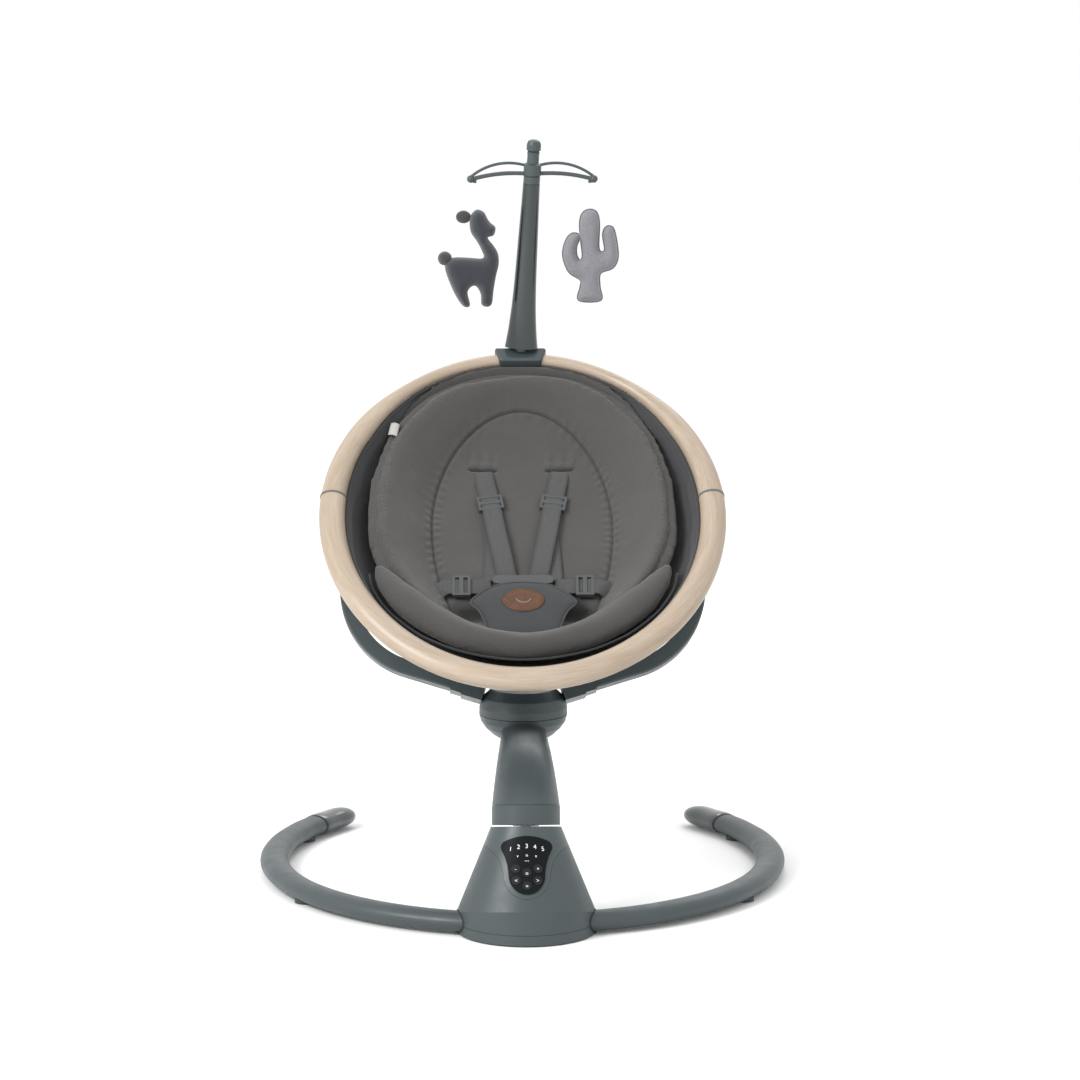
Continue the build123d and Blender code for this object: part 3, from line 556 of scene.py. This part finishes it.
def egg_distance(x, v):
    """Distance in millimetres from the seam round the middle panel, positive outside."""
    def level(px, pv):
        reach = SEAM_TOP if pv > SEAM_V else SEAM_BOTTOM
        return sqrt((px / SEAM_A) ** 2 + ((pv - SEAM_V) / reach) ** 2)
    here = level(x, v)
    slope = sqrt((level(x + 1, v) - here) ** 2 + (level(x, v + 1) - here) ** 2)
    return (here - 1) / max(slope, 1e-4)


def disc(i, j, count):
    """Even grid over a round disc: square cell (i, j) to a point of the unit disc."""
    p, q = 2 * i / count - 1, 2 * j / count - 1
    return p * sqrt(1 - q * q / 2), q * sqrt(1 - p * p / 2)


def inlay_reach(c, s):
    """Distance from the inlay's middle to its edge in the direction (c, s)."""
    length, power = (INLAY_TOP, 2.25) if s > 0 else (INLAY_BOTTOM, 2.0)
    return ((abs(c) / INLAY_A) ** power + (abs(s) / length) ** power) ** (-1 / power)


INLAY_CURVE = spline([(s, n, 0) for s, n in INLAY_PROFILE], 12)
INLAY_CURVE_S = [p.x for p in INLAY_CURVE]
INLAY_CURVE_N = [p.y for p in INLAY_CURVE]


def inlay_level(rho, s):
    """Height of the inlay's middle surface: its front stays deep for longer, its top comes up to the hoop."""
    front = max(0.0, -s) ** 2
    level = np.interp(INLAY_A * rho ** (1 + 1.6 * front), INLAY_CURVE_S, INLAY_CURVE_N)
    return level - 15 * front * rho ** 4 + 11 * max(0.0, s) ** 2 * rho ** 4


def inlay_relief(x, v, rho):
    """How far the inlay's face stands off its plain form, in millimetres, and how much painted shade its seam,
    slots and hollows get.
    """
    seam = egg_distance(x, v)
    near = abs(seam)
    crown = 2.6 * (1 - bump(near, 22)) if seam < 0 else 6.0 * (1 - bump(near, 20))
    crown *= smooth((1 - rho) * 7) if seam > 0 else 1
    groove = -3.0 * bump(near, 2.2)
    turn = math.atan2(v - SEAM_V, x)
    pucker = 0.5 * sin(turn * PUCKERS + 5 * noise.noise(Vector((x, v, 0)) * 0.02)) * bump(near - 5, 5)
    soft = 1.4 * noise.noise(Vector((x, v, 40)) * 0.015) + 0.35 * noise.noise(Vector((x, v, 7)) * 0.05)
    slot_x = abs(abs(x) - SLOT_X)
    in_slot = smooth((SLOT_HALF_W - slot_x) / 6)
    slot = -4.5 * bump(v - SLOT_V, 2.0) * in_slot + 1.1 * bump(v - SLOT_V - 7, 4.5) * in_slot
    fan = 0.9 * sin(x * 0.42) * bump(v - SLOT_V - 14, 11) * smooth((SLOT_HALF_W + 6 - slot_x) / 8)
    pocket = -9 * bump(hypot((abs(x) - POCKET_X) / 22, (v - POCKET_V) / 13), 1.0)
    # painted shade along the seam, in the strap slots and in the hollows beside the pad
    dark = max(0.75 * bump(near, 1.5), 0.95 * bump(v - SLOT_V, 1.6) * in_slot, min(-pocket / 4.5, 1.0))
    return crown + groove + pucker + soft + slot + fan + pocket, dark


def inlay_form():
    """Plain closed dish of the inlay, before it is swollen and sewn."""
    count = 64
    verts, index = [], {}
    for side in (1, -1):
        for i in range(count + 1):
            for j in range(count + 1):
                if side < 0 and (i in (0, count) or j in (0, count)):
                    index[side, i, j] = index[1, i, j]
                    continue
                u, w = disc(i, j, count)
                rho = min(sqrt(u * u + w * w), 1.0)
                c, s = (u / rho, w / rho) if rho > 1e-6 else (1.0, 0.0)
                reach = inlay_reach(c, s)
                rise = inlay_level(min(rho + 0.01, 1), s) - inlay_level(max(rho - 0.01, 0), s)
                slope = rise / (0.02 * reach)
                half = side * INLAY_HALF_T * sqrt(max(0.0, 1 - max(0.0, (rho - 0.88) / 0.12) ** 2))
                steep = sqrt(1 + slope * slope)
                out = reach * rho - slope / steep * half
                index[side, i, j] = len(verts)
                verts.append(seat(out * c, INLAY_MIDDLE_V + out * s, inlay_level(rho, s) + half / steep))
    faces = []
    for side in (1, -1):
        for i in range(count):
            for j in range(count):
                corners = ((i, j), (i + 1, j), (i + 1, j + 1), (i, j + 1))
                faces.append(tuple(index[side, a, b] for a, b in corners[::side]))
    return mesh_object("inlay_cushion", verts, faces)


def set_cloth_coords(mesh, uvs, shade):
    """UVs by the cloth's own lengths and the painted shade of its creases, per vertex."""
    layer = mesh.uv_layers.new(name="UVMap")
    corners = np.zeros(len(mesh.loops), np.int32)
    mesh.loops.foreach_get("vertex_index", corners)
    layer.data.foreach_set("uv", np.asarray(uvs, np.float32)[corners].ravel())
    mesh.attributes.new("shade", "FLOAT", "POINT").data.foreach_set("value", np.asarray(shade, np.float32))


def seat_inlay():
    """Padded inlay: a swollen dish with a crowned border and a sewn middle panel."""
    piece = puffed(inlay_form(), 5 * MM, 5 * MM)
    subdivided(piece, 2)
    applied(piece)
    mesh = piece.data
    spots = seat_places(mesh)
    normals = np.zeros(len(mesh.vertices) * 3, np.float32)
    mesh.vertices.foreach_get("normal", normals)
    normals = normals.reshape(-1, 3)
    facing = normals @ np.array(N_DIR)
    shade = np.zeros(len(spots))
    moved = places(mesh)
    for k, (x, v, n) in enumerate(spots):
        if facing[k] < 0.05:
            under = np.interp(hypot(x, v / LINER_WRAP), LINER_S, LINER_N) + UNDERSIDE_GAP
            moved[k] += np.array(N_DIR) * max(0.0, under - n) * MM
            continue
        away = sqrt(x * x + (v - INLAY_MIDDLE_V) ** 2)
        c, s = (x / away, (v - INLAY_MIDDLE_V) / away) if away > 1e-6 else (1.0, 0.0)
        rho = min(away / inlay_reach(c, s), 1.0)
        extra, dark = inlay_relief(x, v, rho)
        moved[k] += normals[k] * (extra * MM * smooth(facing[k] * 2.5))
        shade[k] = dark
    mesh.vertices.foreach_set("co", moved.ravel())
    mesh.update()
    set_cloth_coords(mesh, spots[:, :2] * MM, shade)
    finish_piece(piece, "seat", MATERIALS["inlay_fabric"])
    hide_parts("seat_inlay")
    return piece


def front_roll():
    """Padded crescent across the inlay's front edge; it thins out to a notch at each end."""
    centres = [seat(*p) for p in spline(ROLL_ROUTE, 12)]
    shares = (0, 0.03, 0.1, 0.2, 0.3, 0.4, 0.5)
    widths = (3, 7, 14, 20.5, 23, 20, 18)
    heights = (2.5, 5, 9, 12, 13, 13, 13)

    def section(t, angle, tangent):
        end = min(t, 1 - t)
        side = tangent.cross(N_DIR).normalized()
        ripple = 1 + 0.015 * sin(47 * t + 3 * cos(angle)) + 0.02 * sin(19 * t + 2 * angle)
        wide = np.interp(end, shares, widths) * MM * ripple
        high = np.interp(end, shares, heights) * MM * ripple
        return side * cos(angle) * wide + N_DIR * sin(angle) * high

    piece = puffed(swept("front_lip", centres, section, 36), 4.5 * MM, 5 * MM)
    applied(subdivided(piece, 1))
    spots = seat_places(piece.data)
    set_cloth_coords(piece.data, spots[:, :2] * MM, np.zeros(len(spots)))
    finish_piece(piece, "seat", MATERIALS["inlay_fabric"])
    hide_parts("front_roll")
    edge = []
    for i, centre in enumerate(centres[3:-3]):
        tangent = (centres[i + 4] - centres[i + 2]).normalized()
        t = (i + 3) / (len(centres) - 1)
        side = tangent.cross(N_DIR).normalized()
        edge.append(centre + side * (np.interp(min(t, 1 - t), shares, widths) + 1.5) * MM - N_DIR * 5 * MM)
    piping = cord_tube("lip_piping", edge, 1.7 * MM)
    finish_piece(piping, "seat", MATERIALS["liner_fabric"])


LINER_PROFILE = ((0, -78.5), (70, -78), (128, -72.5), (172, -57), (200, -31), (208, -14), (213.5, -4))
LINER_S = [s for s, n in LINER_PROFILE]
LINER_N = [n for s, n in LINER_PROFILE]
LINER_RIM = LINER_S[-1]
LINER_WRAP = 1.15        # the liner's length over its width
LINER_THICK = 0.0022
LINER_FOLD = 204.0       # how far out the band's raised fold and its crease lie
LINER_CREASE = 196.0
LINER_SEAMS = tuple(radians(degrees) for degrees in (38, -62, 214, 152))


def hoop_half_width(phi):
    """Half width of the hoop, which thins towards its top."""
    off_top = abs(math.degrees(math.atan2(cos(phi), sin(phi))))
    share = 0.72 + 0.28 * (off_top - 62) / 22 if off_top > 62 else 0.72 * smooth((off_top - 32) / 30)
    return (15 + 16 * min(share, 1)) / 2


def hoop_inner(phi, gap):
    """Point (x, v) inside the hoop's inner face, by a gap, at a turn round its ellipse."""
    outward = Vector((HOOP_B * cos(phi), HOOP_A * sin(phi))).normalized()
    return Vector((HOOP_A * cos(phi), HOOP_B * sin(phi))) - outward * (hoop_half_width(phi) + gap)


def liner_shift(s, turn):
    """Folds and seams of the liner's visible band, in millimetres off its plain form."""
    wave = 1.6 * noise.noise(Vector((cos(turn) * 6, sin(turn) * 6, s * 0.03)))
    folds = 2.6 * bump(s - LINER_FOLD - 2 * wave, 2.2) - 3.0 * bump(s - LINER_CREASE - 3 * wave, 2.4)
    seams = 0.0
    for angle in LINER_SEAMS:
        seams -= 1.6 * bump((turn - angle) * s, 2.2)
    return 1.2 * wave + (folds + seams) * smooth((s - 170) / 20)


def seat_liner():
    """Thin sewn shell that hangs inside the hoop."""
    rows, sides = 60, 240
    profile = spline([(s, n, 0) for s, n in LINER_PROFILE], 12)
    verts, uvs, shade = [], [], []
    for i in range(rows + 1):
        rho = max(i / rows, 0.004)
        point = along(profile, rho)
        for j in range(sides):
            turn = 2 * pi * j / sides - pi
            shift = liner_shift(point.x, turn)
            s = point.x + shift * 0.7 * rho
            x = s * cos(turn)
            v = INLAY_MIDDLE_V * (1 - rho) + s * sin(turn) * LINER_WRAP
            rim = hoop_inner(turn, 0.6)
            pull = smooth((rho - 0.72) / 0.28)
            x += (rim.x - LINER_RIM * cos(turn)) * pull
            v += (rim.y - LINER_RIM * LINER_WRAP * sin(turn)) * pull
            verts.append(seat(x, v, point.y - shift * 0.4))
            uvs.append((x * MM, (v + point.y) * MM))
            # painted shade where the band sinks into its crease and seams
            shade.append(max(0.0, min(1.0, -shift * 0.25)))
    faces = [tuple(reversed(face)) for face in ring_faces(rows + 1, sides)]
    faces.append(tuple(range(sides)))
    piece = mesh_object("liner_shell", verts, faces, uvs, shade)
    thick = piece.modifiers.new("Thickness", "SOLIDIFY")
    thick.thickness = LINER_THICK
    thick.offset = 0
    applied(piece)
    finish_piece(piece, "seat", MATERIALS["liner_fabric"])
    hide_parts("seat_liner")


def rim_piping():
    """Corded edge where the liner meets the hoop's inner face."""
    centres = []
    for j in range(240):
        edge = hoop_inner(2 * pi * j / 240, 1.2)
        centres.append(seat(edge.x, edge.y, -4.5))
    piece = cord_tube("liner_piping", centres, 2.3 * MM, closed=True)
    finish_piece(piece, "seat", MATERIALS["liner_fabric"])


# ------------------------------------------------------------------ harness
STRAP_W = 0.023
STRAP_T = 0.0016


# each strap's name, width, the node it stands for and the points of its route on the right side
STRAPS = (("shoulder_webbing_", STRAP_W, "shoulder_straps",
           ((47, 117, -57), (47, 115, -51), (46.5, 110, -47.5), (44, 92, -46.4), (38.5, 61, -46.6),
            (31, 12, -45.0), (24, -30, -45.2), (19, -60, -48.4), (18.5, -66, -49.5))),
          ("shoulder_return_", STRAP_W - 0.003, None,
           ((33, 58, -49.8), (34, 20, -50.6), (36, -20, -50.6), (38, -64, -51.0))),
          ("waist_webbing_", STRAP_W, "waist_straps",
           ((104, -84, -49), (97, -80, -44.5), (88, -78, -43), (62, -76, -45.4), (38, -74, -48))))


def harness_webbing():
    """The straps of both sides; a node that holds both sides' straps is replaced once."""
    for side, sign in (("right", 1), ("left", -1)):
        for name, width, node, points in STRAPS:
            route = [seat(sign * p.x, p.y, p.z) for p in spline(points, 10)]
            piece = ribbon(name + side, route, width, STRAP_T)
            finish_piece(piece, "seat", MATERIALS["webbing"])
            if node and side == "right":
                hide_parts(node)


PAD_V = -112
PAD_N = -39.4


def pad_edge():
    """Outline of the crotch pad: arched top, wide shoulders, narrow foot."""
    points = [(-42, -164), (-45, -142), (-53, -121), (-63, -108), (-54, -95), (-38, -83), (-20, -77),
              (0, -75.5), (20, -77), (38, -83), (54, -95), (63, -108), (53, -121), (45, -142), (42, -164),
              (20, -168), (0, -168.5), (-20, -168)]
    return [(p.x, p.y) for p in spline([(x, v, 0) for x, v in points], 10, closed=True)]


def crotch_pad():
    """Crowned pad over the buckle, with corded edges and painted shade round its rim."""
    outline = pad_edge()
    verts, shade = [], []
    levels = [0.02, 0.15, 0.3, 0.45, 0.6, 0.72, 0.82, 0.9, 0.96, 1.0]
    rings = [(share, 1) for share in levels] + [(share, -1) for share in reversed(levels[:-1])]
    for share, side in rings:
        for x, v in outline:
            rise = 4.2 * sqrt(max(0.0, 1 - share ** 3)) * side
            verts.append(seat(x * share, PAD_V + (v - PAD_V) * share, PAD_N + rise))
            # painted shade round the pad's rim
            shade.append(0.5 * bump(1 - share, 0.05))
    faces = [tuple(reversed(face)) for face in capped_faces(len(rings), len(outline))]
    piece = mesh_object("crotch_cushion", verts, faces, [(v.x, v.y * 1.3) for v in verts], shade)
    finish_piece(piece, "seat", MATERIALS["pad_fabric"])
    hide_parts("crotch_pad")
    piping = cord_tube("crotch_piping", [seat(x, v, PAD_N + 0.8) for x, v in outline], 1.3 * MM, closed=True)
    finish_piece(piping, "seat", MATERIALS["webbing"])


PATCH_V = -107


def leather_patch():
    """Oval patch with a domed face, a ring of stitches and a plain curved mark."""
    sides = 96
    verts = []
    levels = ((0.02, 0.9), (0.4, 0.85), (0.75, 0.7), (0.92, 0.5), (0.985, 0.2), (1.0, -0.3), (0.985, -0.8),
              (0.02, -0.8))
    for share, rise in levels:
        for j in range(sides):
            turn = 2 * pi * j / sides
            verts.append(seat(25 * share * cos(turn), PATCH_V + 18 * share * sin(turn), -34.4 + rise))
    faces = [tuple(reversed(face)) for face in capped_faces(len(levels), sides)]
    piece = mesh_object("oval_patch", verts, faces)
    finish_piece(piece, "seat", MATERIALS["patch_leather"])
    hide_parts("buckle_patch")
    ring = [seat(22.6 * cos(a), PATCH_V + 15.8 * sin(a), -33.75) for a in np.linspace(0, 2 * pi, 181)]
    stitches("patch_stitches", ring, 2.2 * MM, 0.28 * MM, MATERIALS["patch_leather"])
    mark = [seat(x, PATCH_V + v, -33.3) for x, v in ((-9, 1), (-5, -3.5), (0, -4.8), (5, -3.5), (9, 1))]
    finish_piece(cord_tube("patch_mark", spline(mark, 8), 0.45 * MM), "seat", PATCH_INK)


def stitches(name, route, pitch, radius, material):
    """Row of short thread stitches along a route, as one piece."""
    verts, faces = [], []
    run, start = 0.0, route[0]
    marks = [route[0]]
    for point in route[1:]:
        run += (point - start).length
        start = point
        if run >= pitch:
            marks.append(point)
            run = 0.0
    for a, b in zip(marks, marks[1:]):
        end = a.lerp(b, 0.62)
        direction = (end - a).normalized()
        side = direction.cross(N_DIR).normalized()
        up = side.cross(direction)
        base = len(verts)
        for share, size in ((0, 0.4), (0.25, 1), (0.75, 1), (1, 0.4)):
            centre = a.lerp(end, share)
            for k in range(6):
                angle = pi * k / 3
                verts.append(centre + (side * cos(angle) + up * sin(angle)) * radius * size)
        faces += [tuple(base + k for k in face) for face in capped_faces(4, 6)]
    piece = mesh_object(name, verts, faces)
    return finish_piece(piece, "seat", material)


# ------------------------------------------------------------------ printed panel
HUB_R = 81.0
HUB_SHOULDER_H = 21.0
CONE_SLOPE = 0.41026
PANEL_PROUD = 1.8
KEY_PROUD = 2.5
DIGITS = (("1", -18.5, 93.0), ("2", -9.4, 95.3), ("3", 0, 96.2), ("4", 9.4, 95.3), ("5", 18.5, 93.0))
MARKS = (("v", -10.5, 85.0), ("o", 0, 86.0), ("x", 10.5, 85.0))
KEYS = (("button_speed_down", "-", -12.8, 70.2), ("button_speed_up", "+", 12.8, 70.2),
        ("button_volume_down", "<", -12.4, 56.8), ("button_volume_up", ">", 12.4, 56.8),
        ("button_power", "o", 0, 65.4), ("button_melody", "=", 0, 50.4))


def hub_spot(x, h, proud):
    """Place on the hub's cone and its three directions: across, up the slope and outward."""
    swing = joints["swing"]
    axis = Vector(swing["axis"])
    foot = Vector(swing["pos_m"])
    foot -= axis * (foot.z / axis.z)
    front = Vector((0, -axis.z, axis.y))
    radius = HUB_R - (h - HUB_SHOULDER_H) * CONE_SLOPE + proud
    radial = (Vector((x, 0, 0)) + front * sqrt(radius * radius - x * x)) / radius
    outward = (radial + axis * CONE_SLOPE).normalized()
    across = axis.cross(radial).normalized()
    up = outward.cross(across)
    return foot + (radial * radius + axis * h) * MM, across, up, outward


def printed(name, text, size, x, h, proud, body):
    """One printed sign on the panel or a key, as thin raised ink."""
    curve = bpy.data.curves.new(name, "FONT")
    curve.body = text
    curve.size = size * MM
    curve.extrude = 0.00006
    curve.align_x = "CENTER"
    curve.align_y = "CENTER"
    sign = bpy.data.objects.new(name + "_text", curve)
    bpy.context.scene.collection.objects.link(sign)
    graph = bpy.context.evaluated_depsgraph_get()
    mesh = bpy.data.meshes.new_from_object(sign.evaluated_get(graph))
    bpy.data.objects.remove(sign)
    place, across, up, outward = hub_spot(x, h, proud + 0.12)
    for vertex in mesh.vertices:
        vertex.co = place + across * vertex.co.x + up * vertex.co.y + outward * vertex.co.z
    piece = bpy.data.objects.new(name, mesh)
    bpy.context.scene.collection.objects.link(piece)
    return finish_piece(piece, body, PRINT)


def panel_print():
    """Digits, small signs and a bar on the panel, and a plain sign on each key."""
    for text, x, h in DIGITS:
        printed("print_digit_" + text, text, 7.6, x, h, PANEL_PROUD, "root")
    for text, x, h in MARKS:
        printed("print_mark_" + text, text, 5.2, x, h, PANEL_PROUD, "root")
    printed("print_bar", "---", 5.5, 0, 79.8, PANEL_PROUD, "root")
    for key, text, x, h in KEYS:
        printed("print_" + key, text, 6.0, x, h, KEY_PROUD, key + "_body")


# ------------------------------------------------------------------ seam label
def curved_tag():
    """Small blank white label folded into the seam between the inlay and the liner."""
    rows, across = 10, 8
    verts = []
    for i in range(rows + 1):
        for j in range(across + 1):
            x = -163 + 11 * j / across + 3.5 * i / rows
            v = 138 + 20 * i / rows - 3 * j / across
            verts.append(seat(x, v, -7 + 2.2 * sin(pi * j / across) + 0.8 * sin(3 * i / rows)))
    faces = [(i * (across + 1) + j, i * (across + 1) + j + 1, (i + 1) * (across + 1) + j + 1,
              (i + 1) * (across + 1) + j) for i in range(rows) for j in range(across)]
    piece = mesh_object("seam_tag", verts, faces)
    thick = piece.modifiers.new("Thickness", "SOLIDIFY")
    thick.thickness = 0.0006
    applied(piece)
    finish_piece(piece, "seat", TAG)


# ------------------------------------------------------------------ toys
ALPACA = ((2, 0), (11, -3), (16, -12), (20, -17), (25.5, -22), (23, -32), (15.5, -34.5), (22, -43), (28, -53),
          (29.5, -66), (26, -82), (23, -99), (20, -118), (8.5, -118), (7, -104), (0, -93.5), (-9, -101),
          (-6, -118), (-13, -120), (-21, -111), (-30, -93), (-37, -70), (-28, -59.5), (-10, -59), (10, -60),
          (9, -52), (3, -40), (-4.5, -29), (-6.5, -18), (-5.5, -8))
CACTUS = ((0, 0), (8.5, -4), (11.5, -18), (10.8, -46), (14.5, -52.5), (18.3, -49), (16, -32), (18.5, -23),
          (24.5, -20.5), (30, -26), (34.5, -50), (33.5, -64), (27, -73), (13, -79), (12.3, -95), (13.5, -112),
          (-13.5, -112), (-11.8, -96), (-11.5, -87), (-25, -78), (-32, -63), (-33, -50), (-28.5, -36),
          (-21.5, -29.5), (-14, -30.5), (-12.5, -35), (-16.5, -46), (-16, -57), (-12, -62.5), (-9, -57),
          (-11, -38), (-12.5, -17), (-9, -4.5))
STRING_D = 0.0012


def outline_distance(points, x, z):
    """Distance of each (x, z) from a closed outline."""
    best = np.full(len(x), 1e9)
    count = len(points)
    for i in range(count):
        ax, az = points[i]
        bx, bz = points[(i + 1) % count]
        dx, dz = bx - ax, bz - az
        t = np.clip(((x - ax) * dx + (z - az) * dz) / max(dx * dx + dz * dz, 1e-9), 0, 1)
        best = np.minimum(best, np.hypot(x - ax - t * dx, z - az - t * dz))
    return best


def plush(name, outline, origin, half, body, material):
    """Stuffed toy: two felt faces sewn along a closed outline."""
    route = [(p.x, p.y) for p in spline([(x, z, 0) for x, z in outline], 5, closed=True)]
    count = len(route)
    flat = 3.5
    verts = [origin + Vector((x, y, z)) * MM for y in (-flat, flat) for x, z in route]
    faces = [tuple(range(count)), tuple(range(2 * count - 1, count - 1, -1))]
    faces += [(j, (j + 1) % count, count + (j + 1) % count, count + j)[::-1] for j in range(count)]
    piece = mesh_object(name, verts, faces)
    remesh = piece.modifiers.new("Remesh", "REMESH")
    remesh.mode = "VOXEL"
    remesh.voxel_size = 1.3 * MM
    applied(piece)
    mesh = piece.data
    co = places(mesh)
    x, y, z = ((co[:, k] - origin[k]) / MM for k in range(3))
    depth = outline_distance(route, x, z)
    full = np.sqrt(1 - (1 - np.clip(depth / (half * 1.05), 0, 1)) ** 2)
    flank = np.clip(y / (flat - 0.8), -1, 1)
    co[:, 1] = origin[1] + flank * half * full * MM
    mesh.vertices.foreach_set("co", co.ravel())
    relax = piece.modifiers.new("Relax", "SMOOTH")
    relax.iterations = 4
    relax.factor = 0.5
    applied(piece)
    finish_piece(piece, body, material)
    return subdivided(piece), route


def small_ball(name, centre, size, body, material):
    """Small stuffed part of a toy, gathered towards its middle."""
    rows, sides = 14, 24
    verts = []
    for i in range(rows):
        lat = pi * (i + 0.5) / rows
        for j in range(sides):
            turn = 2 * pi * j / sides
            lump = 1 + 0.05 * noise.noise(Vector((cos(turn) * 2, sin(turn) * 2, lat * 2)))
            offset = (sin(lat) * cos(turn) * size[0], -cos(lat) * size[1], sin(lat) * sin(turn) * size[2])
            verts.append(centre + Vector(offset) * lump * MM)
    piece = mesh_object(name, verts, capped_faces(rows, sides))
    finish_piece(piece, body, material)
    return subdivided(piece)


def toys():
    """The two toys, the alpaca's ear and tail and the cactus's sewn edge."""
    top = Vector(joints["alpaca_spin"]["pos_m"])
    alpaca, outline = plush("alpaca_body", ALPACA, top, 13, "alpaca", MATERIALS["felt_dark"])
    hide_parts("toy_alpaca")
    for name, place, size in (("alpaca_ear", (-14, 0, -9), (9.5, 5, 8)),
                              ("alpaca_tail", (-37, 0, -60), (8.8, 8, 8.8))):
        small_ball(name, top + Vector(place) * MM, size, "alpaca", DARK_FELT)
    top = Vector(joints["cactus_spin"]["pos_m"])
    cactus, outline = plush("cactus_body", CACTUS, top, 10, "cactus", MATERIALS["felt_light"])
    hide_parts("toy_cactus")
    edge = [top + Vector((x, 0, z)) * MM for x, z in outline]
    edge = cord_tube("cactus_edge", edge, 1.1 * MM, closed=True, normal=Vector((0, 1, 0)))
    finish_piece(edge, "cactus", EDGE)


def toy_strings():
    """Short taut lines between the bow's eyes and the toys."""
    for side in ("right", "left"):
        low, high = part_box("toy_string_" + side)
        middle = (low + high) / 2
        top = Vector((middle.x, middle.y, high.z))
        foot = Vector((middle.x, middle.y, low.z))
        curve = bpy.data.curves.new("hanging_line_" + side, "CURVE")
        curve.dimensions = "3D"
        curve.bevel_depth = STRING_D / 2
        route = curve.splines.new("NURBS")
        route.points.add(4)
        for i in range(5):
            route.points[i].co = (*top.lerp(foot, i / 4), 1)
        route.order_u = 3
        route.use_endpoint_u = True
        piece = bpy.data.objects.new("hanging_line_" + side, curve)
        bpy.context.scene.collection.objects.link(piece)
        finish_piece(piece, "string_" + side, MATERIALS["nylon"])
        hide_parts("toy_string_" + side)


# ------------------------------------------------------------------ stage
WORLD_LIGHT = 1.08
# each lamp's name, place and size in metres and power in watts
LAMPS = (("key", (-2.7, -2.1, 2.7), 1.6, 120), ("fill", (2.6, -1.8, 1.9), 1.8, 3),
         ("back", (0.4, 2.2, 2.6), 1.6, 22))
LAMPS_AIM = Vector((0, 0, 0.4))


def stage():
    """Pale floor, white surroundings and three soft lamps."""
    bpy.ops.mesh.primitive_plane_add(size=60, location=(0, 0, -0.0005))
    floor = bpy.context.object
    floor.name = "floor"
    s = Shader("floor", 0.8)
    s.colour(s.ramp(s.noise(s.coords(), 3, 3), ((0.3, (0.92, 0.92, 0.92)), (0.7, (0.935, 0.935, 0.935)))))
    floor.data.materials.append(s.material)
    bpy.context.scene.view_settings.view_transform = "Standard"
    world = bpy.data.worlds.new("studio")
    bpy.context.scene.world = world
    world.use_nodes = True
    world.node_tree.nodes["Background"].inputs[0].default_value = (1, 1, 1, 1)
    world.node_tree.nodes["Background"].inputs[1].default_value = WORLD_LIGHT
    for name, place, size, power in LAMPS:
        light = bpy.data.lights.new(name, "AREA")
        light.energy = power
        light.size = size
        lamp = bpy.data.objects.new(name, light)
        bpy.context.scene.collection.objects.link(lamp)
        lamp.location = place
        lamp.rotation_euler = (LAMPS_AIM - lamp.location).to_track_quat("-Z", "Y").to_euler()


HUB_TO_MIDDLE = 0.293     # from the swing axis' foot to the middle of the base
LENS = 150
SENSOR = 36
EYE_AWAY = 5.36
EYE_HEIGHT = 1.249
EYE_TURN = radians(0.8)
AIM_X = 0.021
AIM_HEIGHT = 0.41


def camera():
    """Long lens in front of the base, a little to one side."""
    data = bpy.data.cameras.new("camera")
    data.lens = LENS
    data.sensor_width = SENSOR
    data.clip_end = 100
    eye = bpy.data.objects.new("camera", data)
    bpy.context.scene.collection.objects.link(eye)
    swing = joints["swing"]
    foot, axis = Vector(swing["pos_m"]), Vector(swing["axis"])
    middle_y = (foot - axis * (foot.z / axis.z)).y + HUB_TO_MIDDLE
    eye.location = (-EYE_AWAY * sin(EYE_TURN), middle_y - EYE_AWAY * cos(EYE_TURN), EYE_HEIGHT)
    aim = Vector((AIM_X, middle_y, AIM_HEIGHT))
    eye.rotation_euler = (aim - eye.location).to_track_quat("-Z", "Y").to_euler()
    bpy.context.scene.camera = eye


dress_cad()
seat_inlay()
front_roll()
seat_liner()
rim_piping()
harness_webbing()
crotch_pad()
leather_patch()
curved_tag()
panel_print()
toys()
toy_strings()
stage()
camera()
